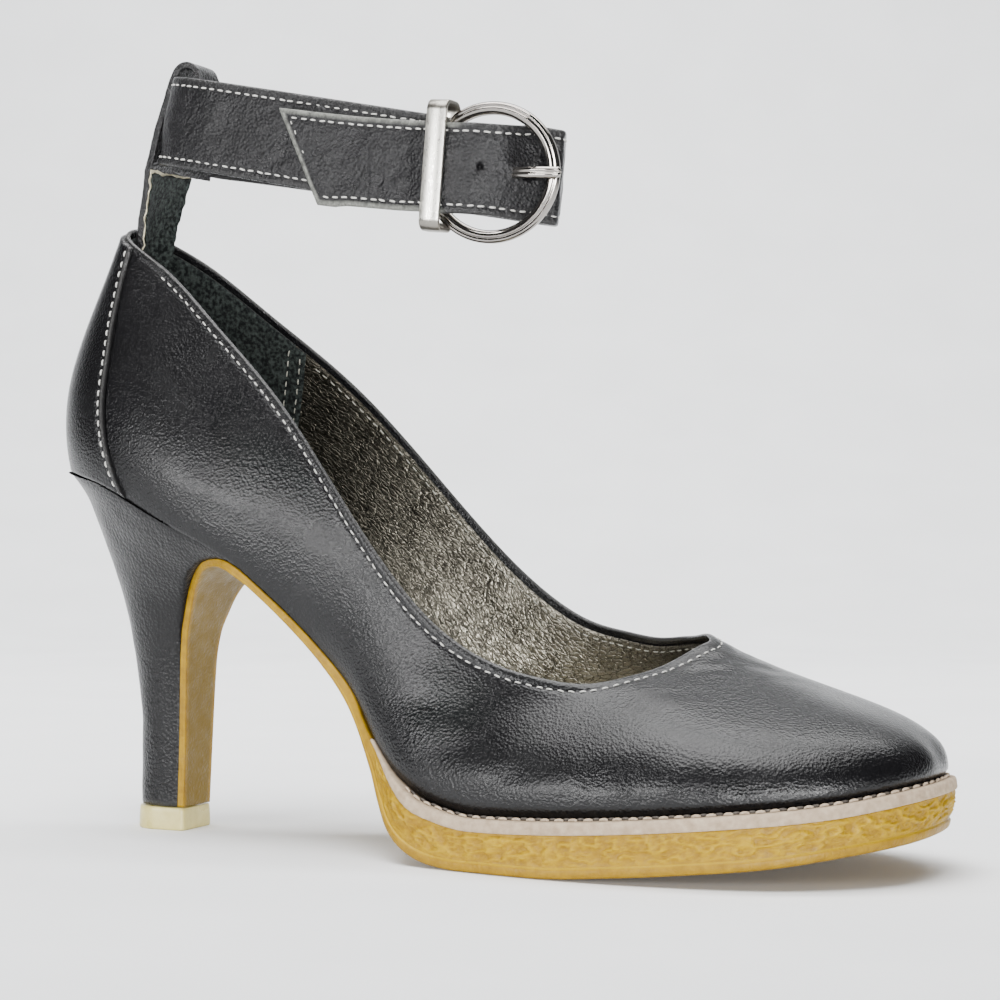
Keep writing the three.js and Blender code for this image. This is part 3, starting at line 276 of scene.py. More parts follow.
# Level direction out of the foot line: its run, turned by a quarter
def outlineNormal(u):
    u = np.asarray(u)
    along = unit((onRail(footRail, u + 0.02) - onRail(footRail, u - 0.02)) * [1, 1, 0])
    return stack(along[..., 1], -along[..., 0], 0)


# Direction out of the wall: cross product of its runs round the shoe and up
def upperNormal(u, v):
    along = upperPoint(u + 0.01, v) - upperPoint(u - 0.01, v)
    top = np.minimum(v, 0.99)
    return unit(np.cross(along, upperPoint(u, top + 0.01) - upperPoint(u, top)))


# Point of the wall at a depth inside its outside; it stays level with the foot line there
def wallPoint(u, v, depth):
    u, v, depth = np.broadcast_arrays(*(np.asarray(a, float) for a in (u, v, depth)))
    level = (1 - ease(v / 0.12))[..., None]
    normal = unit(lerp(upperNormal(u, v), outlineNormal(u), level))
    p = upperPoint(u, v) - normal * depth[..., None]
    p[..., 2] = np.where(v <= 0, bed(p[..., 0]), p[..., 2])
    return p


# Length of the wall from the foot line to the topline at each section, in millimetres
def wallHeight(u):
    steps = np.linspace(0, 1, 9)
    path = upperPoint(np.asarray(u, float)[..., None], steps)
    return np.linalg.norm(np.diff(path, axis=-2), axis=-1).sum(-1)


# Faces of a grid of points. wrap: its columns run once more to the first
def gridFaces(rows, columns, wrap=True):
    i = np.arange(rows - 1)[:, None]
    j = np.arange(columns if wrap else columns - 1)[None]
    k = (j + 1) % columns
    corners = [i * columns + j, i * columns + k, (i + 1) * columns + k, (i + 1) * columns + j]
    return np.stack(corners, -1).reshape(-1, 4)


# Closed body over a grid of loops, each joined to the next. paint: named values for each
# point, for the materials. ring: the last loop is joined to the first
def addBody(name, points, material, paint=None, node=None, ring=False):
    rows, columns = points.shape[:2]
    faces = gridFaces(rows, columns)
    if ring:
        lastRow = (rows - 1) * columns
        j = np.arange(columns)
        k = (j + 1) % columns
        faces = np.vstack([faces, np.stack([lastRow + j, lastRow + k, k, j], -1)])
    return addMesh(name, points.reshape(-1, 3), faces, material, paint, node)


# Piece from points in millimetres: those that meet are merged, open ends are filled and the
# faces are turned outwards
def addMesh(name, points, faces, material, paint=None, node=None):
    mesh = bpy.data.meshes.new(name)
    mesh.from_pydata(np.asarray(points, float) * 0.001, [], faces)
    for key, values in (paint or {}).items():
        attribute = mesh.attributes.new(key, "FLOAT", "POINT")
        attribute.data.foreach_set("value", np.asarray(values, np.float32).ravel())
    work = bmesh.new()
    work.from_mesh(mesh)
    bmesh.ops.remove_doubles(work, verts=work.verts, dist=1e-6)
    bmesh.ops.holes_fill(work, edges=[edge for edge in work.edges if edge.is_boundary], sides=0)
    bmesh.ops.recalc_face_normals(work, faces=work.faces)
    for face in work.faces:
        face.smooth = True
    work.to_mesh(mesh)
    work.free()
    mesh.materials.append(material)
    piece = bpy.data.objects.new(name, mesh)
    bpy.context.scene.collection.objects.link(piece)
    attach(piece, "root")
    if node:
        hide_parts(node)
    return piece


# Node of a material with its settings, each socket given a value or joined to another node
def addNode(tree, kind, sockets=None, **settings):
    made = tree.nodes.new(kind)
    for key, value in settings.items():
        setattr(made, key, value)
    for key, value in (sockets or {}).items():
        if isinstance(value, bpy.types.NodeSocket):
            tree.links.new(value, made.inputs[key])
        else:
            made.inputs[key].default_value = value
    return made


# New material with its shader's own values, and the place on the piece that patterns read
def startFinish(name, sockets):
    material = bpy.data.materials.new(name)
    material.use_nodes = True
    tree = material.node_tree
    for key, value in sockets.items():
        tree.nodes["Principled BSDF"].inputs[key].default_value = value
    return material, tree, addNode(tree, "ShaderNodeTexCoord").outputs["Object"]


# The material with its colour, gloss and bump joined to its shader
def endFinish(material, tone, gloss, normal):
    tree = material.node_tree
    for key, value in (("Base Color", tone), ("Roughness", gloss), ("Normal", normal)):
        if value:
            tree.links.new(value, tree.nodes["Principled BSDF"].inputs[key])
    return material


# Value painted on a piece's points under a name
def painted(tree, name):
    return addNode(tree, "ShaderNodeAttribute", attribute_name=name).outputs["Fac"]


# Place with its pattern stretched along the three directions
def stretched(tree, place, stretch):
    scale = [1 / s for s in stretch]
    return addNode(tree, "ShaderNodeMapping", {"Vector": place, "Scale": scale}).outputs[0]


# Noise with blotches of about size millimetres
def noise(tree, place, size, detail=3, stretch=None):
    place = stretched(tree, place, stretch) if stretch else place
    made = addNode(tree, "ShaderNodeTexNoise", {"Vector": place, "Scale": 1000 / size, "Detail": detail})
    return made.outputs["Fac"]


# Cells of about size millimetres: distance from their middles, or from their edges
def cells(tree, place, size, feature="F1", stretch=None):
    place = stretched(tree, place, stretch) if stretch else place
    made = addNode(tree, "ShaderNodeTexVoronoi", {"Vector": place, "Scale": 1000 / size}, feature=feature)
    return made.outputs["Distance"]


# Value spread from one range over another in a straight line
def spread(tree, value, fromLow, fromHigh, low, high):
    return addNode(tree, "ShaderNodeMapRange", {
        "Value": value, "From Min": fromLow, "From Max": fromHigh, "To Min": low, "To Max": high,
    }).outputs["Result"]


# Colour at a share of the way from the first to the second
def mixColours(tree, share, first, second):
    made = addNode(tree, "ShaderNodeMix", {"Factor": share}, data_type="RGBA")
    for socket, value in ((made.inputs[6], first), (made.inputs[7], second)):
        if isinstance(value, bpy.types.NodeSocket):
            tree.links.new(value, socket)
        else:
            socket.default_value = (*value, 1)
    return made.outputs[2]


# Two values put together by one operation
def compute(tree, operation, first, second):
    return addNode(tree, "ShaderNodeMath", {0: first, 1: second}, operation=operation).outputs[0]


# Bump of a height in millimetres, on top of another bump
def bump(tree, height, depth, below=None):
    sockets = {"Height": height, "Distance": depth * 0.001}
    if below:
        sockets["Normal"] = below
    return addNode(tree, "ShaderNodeBump", sockets).outputs["Normal"]


# Smooth dyed leather: rounded grain cells with fine pores, gloss that comes and goes, and a
# worn, greyer tone where wear is painted, and a pale cut edge where raw is painted
def makeLeather(name, look):
    material, tree, place = startFinish(name, {
        "Specular IOR Level": look["shine"],
        "Coat Weight": look["coat"],
        "Coat Roughness": look["coatRoughness"],
    })
    tone = mixColours(tree, noise(tree, place, 9), look["deep"], look["light"])
    fine = cells(tree, place, look["grain"])
    shade = spread(tree, fine, 0.1, 0.75, 0.0, 1.0)
    tone = mixColours(tree, compute(tree, "MULTIPLY", shade, 0.35), tone, look["pore"])
    tone = mixColours(tree, painted(tree, "wearAndHighlight"), tone, look["worn"])
    raw = painted(tree, "raw")
    fuzz = spread(tree, noise(tree, place, 0.5, 4), 0.3, 0.7, 0.45, 1.0)
    tone = mixColours(tree, compute(tree, "MULTIPLY", raw, fuzz), tone, look["cut"])
    patches = noise(tree, place, 14, 4)
    gloss = spread(tree, patches, 0.3, 0.7, look["smooth"], look["rough"])
    gloss = compute(tree, "ADD", gloss, compute(tree, "MULTIPLY", raw, 0.3))
    soft = bump(tree, noise(tree, place, 7, 2), look["waves"])
    grain = bump(tree, fine, look["depth"], soft)
    creases = cells(tree, place, look["grain"] * 2.6, "DISTANCE_TO_EDGE")
    creases = bump(tree, creases, look["depth"] * 0.5, grain)
    pores = bump(tree, noise(tree, place, look["grain"] * 0.35, 3), look["depth"] * 0.6, creases)
    return endFinish(material, tone, gloss, pores)


upperLeather = makeLeather("black_leather", {
    "deep": (0.0022, 0.0021, 0.0025), "light": (0.005, 0.0048, 0.0054), "pore": (0.001, 0.001, 0.0012),
    "worn": (0.05, 0.049, 0.048), "cut": (0.3, 0.29, 0.26), "grain": 0.62, "depth": 0.09, "waves": 0.03,
    "smooth": 0.2, "rough": 0.3, "shine": 0.3, "coat": 0.04, "coatRoughness": 0.15,
})
strapLeather = makeLeather("strap_leather", {
    "deep": (0.003, 0.0028, 0.0034), "light": (0.0085, 0.0078, 0.0088), "pore": (0.0014, 0.0014, 0.0016),
    "worn": (0.06, 0.06, 0.058), "cut": (0.23, 0.235, 0.21), "grain": 0.75, "depth": 0.2, "waves": 0.16,
    "smooth": 0.24, "rough": 0.36, "shine": 0.3, "coat": 0.02, "coatRoughness": 0.25,
})
heelLeather = makeLeather("heel_leather", {
    "deep": (0.0024, 0.0022, 0.0026), "light": (0.0055, 0.0052, 0.0057), "pore": (0.001, 0.001, 0.0012),
    "worn": (0.045, 0.044, 0.042), "cut": (0.3, 0.29, 0.26), "grain": 0.8, "depth": 0.15, "waves": 0.05,
    "smooth": 0.24, "rough": 0.35, "shine": 0.24, "coat": 0.02, "coatRoughness": 0.25,
})


# Metallic coated lining, crinkled along the foot by the painted places along and across it, with a reflection
# painted into its colour
def makePewter():
    look = {
        "deep": (0.035, 0.031, 0.024), "light": (0.62, 0.58, 0.47), "crack": (0.012, 0.011, 0.008),
        "swirl": 700, "wander": 0.0013,
    }
    material, tree, _ = startFinish("pewter_lining", {"Metallic": 0.95, "Specular IOR Level": 0.5})
    place = addNode(tree, "ShaderNodeCombineXYZ", {
        "X": painted(tree, "runAlong"), "Y": painted(tree, "runAcross"),
    }).outputs[0]
    swirl = addNode(tree, "ShaderNodeTexNoise", {"Vector": place, "Scale": look["swirl"], "Detail": 2})
    wander = {0: swirl.outputs["Color"], "Scale": look["wander"]}
    wander = addNode(tree, "ShaderNodeVectorMath", wander, operation="SCALE").outputs[0]
    place = addNode(tree, "ShaderNodeVectorMath", {0: place, 1: wander}, operation="ADD").outputs[0]
    wide = cells(tree, place, 1.25, "DISTANCE_TO_EDGE", (2.3, 0.72, 1))
    fine = cells(tree, place, 0.62, "DISTANCE_TO_EDGE", (2.1, 0.8, 1))
    patchy = spread(tree, noise(tree, place, 6), 0.3, 0.7, 0.6, 1.1)
    # Painted reflection: the coating runs from its deep to its light colour where the reflection is painted,
    # in patches
    paintedReflection = compute(tree, "MULTIPLY", painted(tree, "paintedReflection"), patchy)
    tone = mixColours(tree, paintedReflection, look["deep"], look["light"])
    tone = mixColours(tree, spread(tree, wide, 0.0, 0.08, 0.75, 0.0), tone, look["crack"])
    gloss = spread(tree, noise(tree, place, 6, 4), 0.3, 0.7, 0.26, 0.4)
    soft = bump(tree, noise(tree, place, 3.5, 3, (2.2, 0.8, 1)), 0.45)
    tall = bump(tree, spread(tree, wide, 0.0, 0.22, 0.0, 1.0), 0.16, soft)
    return endFinish(material, tone, gloss, bump(tree, spread(tree, fine, 0.0, 0.2, 0.0, 1.0), 0.05, tall))


# Napped suede: mottled nap with short fibres
def makeSuede():
    look = {"deep": (0.003, 0.004, 0.004), "light": (0.038, 0.046, 0.042)}
    material, tree, place = startFinish("suede_lining", {
        "Roughness": 0.95, "Specular IOR Level": 0.15, "Sheen Weight": 0.04, "Sheen Roughness": 0.5,
    })
    mottled = spread(tree, noise(tree, place, 0.9, 5), 0.4, 0.68, 0, 1)
    tone = mixColours(tree, mottled, look["deep"], look["light"])
    return endFinish(material, tone, None, bump(tree, noise(tree, place, 0.5, 5), 0.35))


# Crepe rubber: amber and mottled, with a wrinkled skin, paler along its ridges, with painted shade on its
# underside under the arch and a painted highlight along its lateral rim
def makeCrepe():
    look = {
        "deep": (0.2, 0.108, 0.0001), "light": (0.28, 0.162, 0.0003), "ridge": (0.42, 0.27, 0.001),
        "archShade": (0.12, 0.075, 0.0002), "wearAndHighlight": (0.44, 0.29, 0.003),
    }
    material, tree, place = startFinish("crepe", {
        "Specular IOR Level": 0.25, "Coat Weight": 0.05, "Coat Roughness": 0.25,
    })
    mottled = spread(tree, noise(tree, place, 2.6, 5), 0.32, 0.68, 0, 1)
    tone = mixColours(tree, mottled, look["deep"], look["light"])
    ridge = spread(tree, painted(tree, "ridge"), 0.0, 1.0, 0.0, 0.6)
    tone = mixColours(tree, ridge, tone, look["ridge"])
    tone = mixColours(tree, painted(tree, "archShade"), tone, look["archShade"])
    tone = mixColours(tree, painted(tree, "wearAndHighlight"), tone, look["wearAndHighlight"])
    gloss = spread(tree, noise(tree, place, 3, 3), 0.3, 0.7, 0.4, 0.62)
    skin = bump(tree, cells(tree, place, 1.3, "DISTANCE_TO_EDGE"), 0.16)
    return endFinish(material, tone, gloss, bump(tree, noise(tree, place, 0.6, 4), 0.1, skin))


# Plain dull stuff with a mottled tone and a rough skin, for welt, tread, thread and cut edges
def makePlain(name, first, second, size, roughness, depth, shine=0.3):
    material, tree, place = startFinish(name, {"Specular IOR Level": shine})
    tone = mixColours(tree, spread(tree, noise(tree, place, size, 5), 0.3, 0.7, 0, 1), first, second)
    patches = noise(tree, place, size * 2, 3)
    gloss = spread(tree, patches, 0.3, 0.7, roughness - 0.08, roughness + 0.08)
    return endFinish(material, tone, gloss, bump(tree, noise(tree, place, size * 0.4, 4), depth))


# Plated metal with fine scratches and a few pits, darker where shade is painted on its bends
def makeMetal(name, deep, light, roughness, scratches, stretch):
    look = {"pit": (0.05, 0.045, 0.04), "paintedBendShade": (0.16, 0.145, 0.125)}
    material, tree, place = startFinish(name, {"Metallic": 1.0})
    tone = mixColours(tree, noise(tree, place, 3, 4), deep, light)
    pits = spread(tree, cells(tree, place, 1.6), 0.0, 0.09, 1.0, 0.0)
    tone = mixColours(tree, compute(tree, "MULTIPLY", pits, 0.5), tone, look["pit"])
    tone = mixColours(tree, painted(tree, "paintedBendShade"), tone, look["paintedBendShade"])
    streaks = noise(tree, place, 0.35, 4, stretch)
    gloss = spread(tree, streaks, 0.3, 0.7, roughness * 0.7, roughness * 1.4)
    return endFinish(material, tone, gloss, bump(tree, streaks, scratches))


pewter = makePewter()
suede = makeSuede()
crepe = makeCrepe()
weltLeather = makePlain("welt_leather", (0.27, 0.2, 0.135), (0.4, 0.315, 0.225), 1.6, 0.75, 0.06)
treadRubber = makePlain("pale_rubber", (0.46, 0.39, 0.13), (0.58, 0.51, 0.21), 3, 0.32, 0.03, 0.5)
whiteThread = makePlain("white_thread", (0.36, 0.355, 0.33), (0.58, 0.57, 0.54), 0.5, 0.6, 0.08)
liningThread = makePlain("lining_thread", (0.2, 0.2, 0.17), (0.42, 0.41, 0.35), 0.5, 0.6, 0.08)
# Thread of the crevice seam, drawn dark as painted shade of the crevice between welt and upper
creviceShadeThread = makePlain("crevice_shade_thread", (0.03, 0.025, 0.022), (0.09, 0.075, 0.06), 0.5, 0.6, 0.08)
weltThread = makePlain("welt_thread", (0.28, 0.21, 0.14), (0.45, 0.36, 0.27), 0.5, 0.65, 0.08)
cutEdge = makePlain("cut_edge", (0.34, 0.3, 0.19), (0.6, 0.56, 0.42), 0.8, 0.8, 0.15)
darkNickel = makeMetal("dark_nickel", (0.24, 0.222, 0.205), (0.36, 0.335, 0.31), 0.1, 0.004, (1, 1, 1))
brightNickel = makeMetal("bright_nickel", (0.74, 0.72, 0.65), (0.8, 0.78, 0.72), 0.36, 0.002, (1, 1, 2))
print("finishes made")


# Stitches, in millimetres: from one to the next, length, thickness, and how proud they stand
stitchLook = {
    "pitch": 2.45, "long": 1.65, "thick": 0.44, "proud": 0.1, "dip": 0.28, "facets": 6, "rings": 6,
}


# Row of stitches along a path: each is a short tube, thick in the middle and closed at its
# ends, which dip into the leather
def addStitches(name, rows, material, look):
    parts = []
    rng = np.random.default_rng(7)
    for path, outward in rows:
        run = runLength(path)
        count = max(1, int(run[-1] / look["pitch"]))
        centre = (np.arange(count) + 0.5) * run[-1] / count + rng.normal(0, 0.05, count) * look["pitch"]
        t = np.cos(np.linspace(np.pi, 0, look["rings"]))
        at = centre[:, None] + t * look["long"] / 2
        middle, normal = alongPath(path, run, at), unit(alongPath(outward, run, at))
        along = unit(middle[:, -1:] - middle[:, :1]) + 0 * middle
        lean = rng.normal(0, 0.035, (count, 1, 1))
        side = np.cross(normal, along)
        middle = middle + side * t[None, :, None] * lean * look["long"]
        lift = look["proud"] - look["dip"] * np.abs(t) ** 3
        middle = middle + normal * lift[None, :, None]
        angle = np.linspace(0, 2 * np.pi, look["facets"], endpoint=False)
        radius = look["thick"] / 2 * np.sqrt(np.maximum(0, 1 - t**6))[None, :, None, None]
        turn = side[:, :, None] * np.cos(angle)[:, None] + normal[:, :, None] * np.sin(angle)[:, None]
        parts.append(middle[:, :, None] + turn * radius)
    points = np.concatenate(parts)
    grid = gridFaces(look["rings"], look["facets"])
    size = look["rings"] * look["facets"]
    faces = (np.arange(len(points))[:, None, None] * size + grid).reshape(-1, 4)
    return addMesh(name, points.reshape(-1, 3), faces, material)


# Welt in millimetres and in shares of the last's length; it starts thin and is full from the ball
weltLook = {
    "start": 0.432, "full": 0.5, "thick": 2.5, "stand": 3, "toeStand": 1.6, "toeFrom": 0.84,
    "roomFrom": 0.4,
}


# How full the welt is: 0 where it starts, 1 where it is full, eased between them
def weltShare(x):
    start, full = placeAlong(weltLook["start"]), placeAlong(weltLook["full"])
    return ease((x - start) / (full - start))


# Depth of the welt under the foot line: half a millimetre, growing to its full thickness
def weltDepth(x):
    return lerp(0.5, weltLook["thick"], weltShare(x))


# Upper, in millimetres
upperLook = {
    "round": 672, "rise": 76, "leather": 1.15, "stitchBelow": 2.3, "stitchDip": 0.15, "edgePuff": 0.08,
    "tuck": 0.9, "tuckHeight": 1.3, "pulls": 0.26, "pullSize": 9, "slack": 0.14,
}

# Creases, each a soft trough with a ridge on both sides: from and to on the wall,
# depth and width in millimetres
upperCreases = {
    "fromU": [12.2, 12.7, 11.3, 13.4, 14.6, 15.3, 6.1, 6.7, 7.6, 8.6, 3.1, 21.9, 21.2, 20.3, 12.6, 10.2],
    "fromV": [0.93, 0.86, 0.9, 0.8, 0.9, 0.84, 0.34, 0.18, 0.1, 0.12, 0.12, 0.34, 0.18, 0.12, 0.76, 0.8],
    "toU": [13.7, 14.4, 12.5, 15.0, 16.0, 16.6, 7.2, 8.0, 8.9, 9.9, 4.3, 20.8, 20.0, 19.1, 14.2, 11.4],
    "toV": [0.87, 0.79, 0.84, 0.74, 0.86, 0.8, 0.72, 0.56, 0.44, 0.38, 0.3, 0.72, 0.56, 0.44, 0.7, 0.72],
    "deep": [0.16, 0.12, 0.13, 0.08, 0.14, 0.1, 0.12, 0.13, 0.11, 0.09, 0.08, 0.12, 0.13, 0.1, 0.07, 0.08],
    "wide": [1.3, 1.6, 1.2, 1.8, 1.4, 1.5, 2.6, 2.8, 2.6, 2.4, 2.2, 2.6, 2.8, 2.6, 1.8, 1.8],
}


# How deep the creases press in at the wall's points: nearest point of each crease's line,
# and a trough across it that fades at both ends
def creaseDepth(points):
    depth = np.zeros(points.shape[:-1])
    t = np.linspace(0, 1, 18)
    for fromU, fromV, toU, toV, deep, wide in zip(*upperCreases.values()):
        line = upperPoint(lerp(fromU, toU, t), lerp(fromV, toV, t) + 0.02 * np.sin(np.pi * t))
        near = np.linalg.norm(points - line[9], axis=-1) < 45
        gap = np.linalg.norm(points[near][:, None] - line, axis=-1)
        away = gap.min(-1)
        fade = np.sin(np.pi * (gap.argmin(-1) + 0.5) / len(t)) ** 0.7
        depth[near] += fade * deep * (hump(away, wide) - 0.45 * hump(away - 2 * wide, wide))
    return depth


# How deep the leather lies under the plain wall: a dip along the stitches, a tuck over the
# welt, pulls round the toe, a little slack, and the creases
def upperDents(u, v, below, height):
    look = upperLook
    points = upperPoint(u, v)
    rise = height * v
    stitched = look["stitchDip"] * hump(below - look["stitchBelow"], 0.5)
    stitched = stitched - look["edgePuff"] * hump(below - 1.1, 0.7)
    tucked = look["tuck"] * hump(rise, look["tuckHeight"]) * weltShare(points[..., 0])
    toeShare = ease((np.minimum(u, around - u) - 7.5) / 2.5)
    pulls = unevenness(points * [1, 1, 0.25], look["pullSize"], 11)
    pulled = look["pulls"] * toeShare * hump(rise - 8, 6.5) * pulls
    slack = look["slack"] * unevenness(points, 24, 12) * ease(below / 6)
    return stitched + tucked + pulled + slack + creaseDepth(points)


# Section of the wall: up the outside, round the folded topline and down the inside
def makeUpper():
    look = upperLook
    u = np.linspace(0, around, look["round"], endpoint=False)[:, None]
    height = wallHeight(u[:, 0])[:, None]
    radius = look["leather"] / 2
    topV = 1 - radius / height
    outsideV = topV * (1 - (1 - np.linspace(0, 1, look["rise"])) ** 1.25)
    below = (1 - outsideV) * height
    outside = wallPoint(u, outsideV, upperDents(u, outsideV, below, height))
    angle = np.linspace(0, np.pi, 9)[1:-1]
    fold = wallPoint(u, topV + (1 - topV) * np.sin(angle), radius * (1 - np.cos(angle)))
    insideV = topV * np.linspace(1, 0, 12)
    inside = wallPoint(u, insideV, look["leather"])
    points = np.concatenate([outside, fold, inside], 1)
    foldWear = 0.5 * np.ones((len(u), len(angle)))
    wearAndHighlight = np.concatenate([0.35 * hump(below, 0.7), foldWear, np.zeros((len(u), 12))], 1)
    addBody("upper_leather", points, upperLeather, {"wearAndHighlight": wearAndHighlight}, "upper", ring=True)
    path = np.linspace(1.9, around - 1.9, 900)
    v = 1 - look["stitchBelow"] / wallHeight(path)
    rows = [(wallPoint(path, v, 0.05), upperNormal(path, v))]
    addStitches("topline_stitches", rows, whiteThread, {**stitchLook, "thick": 0.37, "long": 1.5})


makeUpper()
print("upper made")

# Linings, in millimetres, their seam in sections of the upper
liningLook = {"startBelow": 1.9, "outer": 1.2, "inner": 1.75, "seam": 3.4, "crinkle": 0.07, "nap": 0.06}


# Lining of one part of the shoe: a thin sheet on the inside of the wall, closed all round
def liningSheet(u, rise):
    look = liningLook
    u = u[:, None]
    height = wallHeight(u[:, 0])[:, None]
    top = 1 - look["startBelow"] / height
    v = top * np.linspace(0, 1, rise)
    return u, v, wallPoint(u, v, look["inner"]), wallPoint(u, v[:, ::-1], look["outer"])


# Places along and across the foot, in metres, and a reflection painted on the coating: brightest at the ball,
# fainter up the wall
def pewterPaint(points, along, across):
    x, height = points[..., 0], points[..., 2] - bed(points[..., 0])
    paintedReflection = 0.06 + 0.94 * hump(x - placeAlong(0.51), 28) * (1 - 0.5 * ease((height - 16) / 20))
    paint = {"runAlong": 0.001 * along, "runAcross": 0.001 * across, "paintedReflection": paintedReflection}
    return {key: np.hstack([values, values[:, ::-1]]) for key, values in paint.items()}


# Linings: a coated one in front, wrinkled along the foot, a suede one at the back, lapped over
# it, and the seams between and above them
def makeLining():
    look = liningLook
    front = np.linspace(look["seam"] - 0.15, around - look["seam"] + 0.15, 520)
    u, v, inner, outer = liningSheet(front, 44)
    away = upperNormal(u + 0 * v, v)
    folds = wrinkles(inner, 3, 21, (3.4, 1, 1)) + 0.6 * wrinkles(inner, 1.8, 22, (3, 1, 1))
    edges = ease(v / 0.05) * ease((v[:, -1:] - v) / 0.03)
    edges = edges * ease((np.minimum(u, around - u) - look["seam"]) / 0.5)
    inner = inner - away * (look["crinkle"] * folds * edges)[..., None]
    along = runLength(inner[:, 22])[:, None] + 0 * v
    across = v * wallHeight(front)[:, None]
    points, paint = np.concatenate([inner, outer], 1), pewterPaint(inner, along, across)
    addBody("front_lining", points, pewter, paint, None)
    rear = np.linspace(-look["seam"], look["seam"], 260)
    u, v, inner, outer = liningSheet(rear, 40)
    away = upperNormal(u + 0 * v, v)
    lap = 0.4 * ease((look["seam"] - np.abs(u)) / 0.03)
    inner = inner - away * (lap + look["nap"] * unevenness(inner, 5, 23))[..., None]
    addBody("rear_lining", np.concatenate([inner, outer], 1), suede)
    rows = []
    for side in (1, -1):
        for off in (0.06, 0.2):
            v = np.linspace(0.08, 0.93, 80)
            at = np.full_like(v, side * (look["seam"] - off))
            rows.append((wallPoint(at, v, look["inner"] + 0.44), -upperNormal(at, v)))
    path = np.linspace(look["seam"] + 0.1, around - look["seam"] - 0.1, 800)
    v = 1 - 3.4 / wallHeight(path)
    rows.append((wallPoint(path, v, look["inner"] + 0.05), -upperNormal(path, v)))
    addStitches("lining_stitches", rows, liningThread, {**stitchLook, "thick": 0.34})


makeLining()

# Sock, in millimetres
sockLook = {"rungs": 240, "across": 40, "rise": 2.1, "dish": 0.9, "under": 1.7}


# Sock over the insole: rungs from wall to wall, dished between them, and its underside
def makeSock():
    look = sockLook
    u = np.linspace(0, toeRow, look["rungs"])
    v = look["rise"] / wallHeight(u)
    inset = last["wall"] - 0.03
    lateral = wallPoint(u, v, inset)[:, None]
    medial = wallPoint(around - u, v, inset)[:, None]
    s = np.linspace(0, 1, look["across"])[None, :, None]
    top = lerp(lateral, medial, s)
    halfWidth = np.linalg.norm(medial - lateral, axis=-1, keepdims=True) / 2
    dish = look["dish"] * np.minimum(1, halfWidth / 12) * (np.sin(np.pi * s) ** 0.6)
    top = top - up * dish
    folds = wrinkles(top, 3, 31, (3.2, 1, 1)) + 0.5 * wrinkles(top, 1.8, 32, (2.8, 1, 1))
    top = top + up * (0.07 * folds[..., None] * np.sin(np.pi * s))
    under = lerp(medial, lateral, s) - up * look["under"]
    along = runLength(top[:, look["across"] // 2])[:, None] + 0 * top[..., 0]
    paint = pewterPaint(top, along, top[..., 1] + 60)
    addBody("sock", np.concatenate([top, under], 1), pewter, paint, "insole")


makeSock()
print("lining and sock made")

# Counter panel, in millimetres
panelLook = {"thick": 0.95, "round": 0.8, "stitchIn": 1.7, "stitchDip": 0.2}
panelTable = {"up": [0, 0.15, 0.35, 0.5, 0.7, 0.9, 1], "reach": [2.5, 2.25, 1.97, 1.8, 1.52, 1.3, 1.25]}


# How far the panel reaches round from the back at each height, in sections of the upper
def panelReach(v):
    return through(panelTable["up"], panelTable["reach"], v)


# Panel over the back of the heel, rounded down to the upper at its edges
def makePanel():
    look = panelLook
    v = np.linspace(0.004, 0.985, 90)[None]
    s = np.sin(np.linspace(-1, 1, 130) * np.pi / 2)[:, None]
    u = s * panelReach(v)
    step = np.linalg.norm(upperPoint(u + 0.02, v) - upperPoint(u - 0.02, v), axis=-1) / 0.04
    fromSide = (1 - np.abs(s)) * panelReach(v) * step
    fromEnd = np.minimum(0.985 - v, 3 * (v - 0.004)) * wallHeight(u[:, 45])[:, None]
    edge = np.minimum(fromSide, fromEnd)
    full = np.sqrt(np.maximum(0, 1 - np.maximum(0, 1 - edge / look["round"]) ** 2))
    stitched = look["stitchDip"] * hump(fromSide - look["stitchIn"], 0.5)
    stitched = stitched - 0.1 * hump(fromSide - 0.8, 0.5)
    stand = 0.12 + look["thick"] * full - stitched * full
    stand = stand + 0.1 * unevenness(upperPoint(u, v), 20, 41) * ease(edge / 5)
    outer = wallPoint(u, v, -stand)
    inner = wallPoint(u, v, -0.06)[:, ::-1]
    wearAndHighlight = 0.55 * hump(fromSide - 0.5, 0.35)
    points, wearAndHighlight = np.concatenate([outer, inner], 1), np.concatenate([wearAndHighlight, 0 * wearAndHighlight], 1)
    addBody("back_panel", points, upperLeather, {"wearAndHighlight": wearAndHighlight}, "counter_panel")
    rows = []
    v = np.linspace(0.03, 0.965, 160)
    for side in (1, -1):
        reach = panelReach(v)
        step = np.linalg.norm(upperPoint(reach + 0.02, v) - upperPoint(reach - 0.02, v), axis=-1) / 0.04
        at = side * (reach - look["stitchIn"] / step)
        rows.append((wallPoint(at, v, -look["thick"]), upperNormal(at, v)))
    addStitches("panel_stitches", rows, whiteThread, {**stitchLook, "thick": 0.42, "long": 1.6})


makePanel()
print("panel made")

# Sole, in millimetres, its seams as shares of the last's length
soleLook = {
    "flap": 1.7, "rimInset": 0.5, "fullSide": 8, "sideFrom": 4, "wrinkle": 0.65,
    "heelSeam": 0.225, "shankSeam": 0.29,
}


# Edge of the sole seen from above: outside the foot line by the welt's stand, less the inset
def soleOutline(u, inset):
    u, inset = np.broadcast_arrays(np.asarray(u, float), np.asarray(inset, float))
    foot = onRail(footRail, u)
    toeFrom = placeAlong(weltLook["toeFrom"])
    toeShare = ease((foot[..., 0] - toeFrom) / (placeAlong(1) - toeFrom))
    stand = lerp(weltLook["stand"], weltLook["toeStand"], toeShare)
    stand = stand * lerp(0.1, 1, weltShare(foot[..., 0])) - inset
    return foot + outlineNormal(u) * stand[..., None]


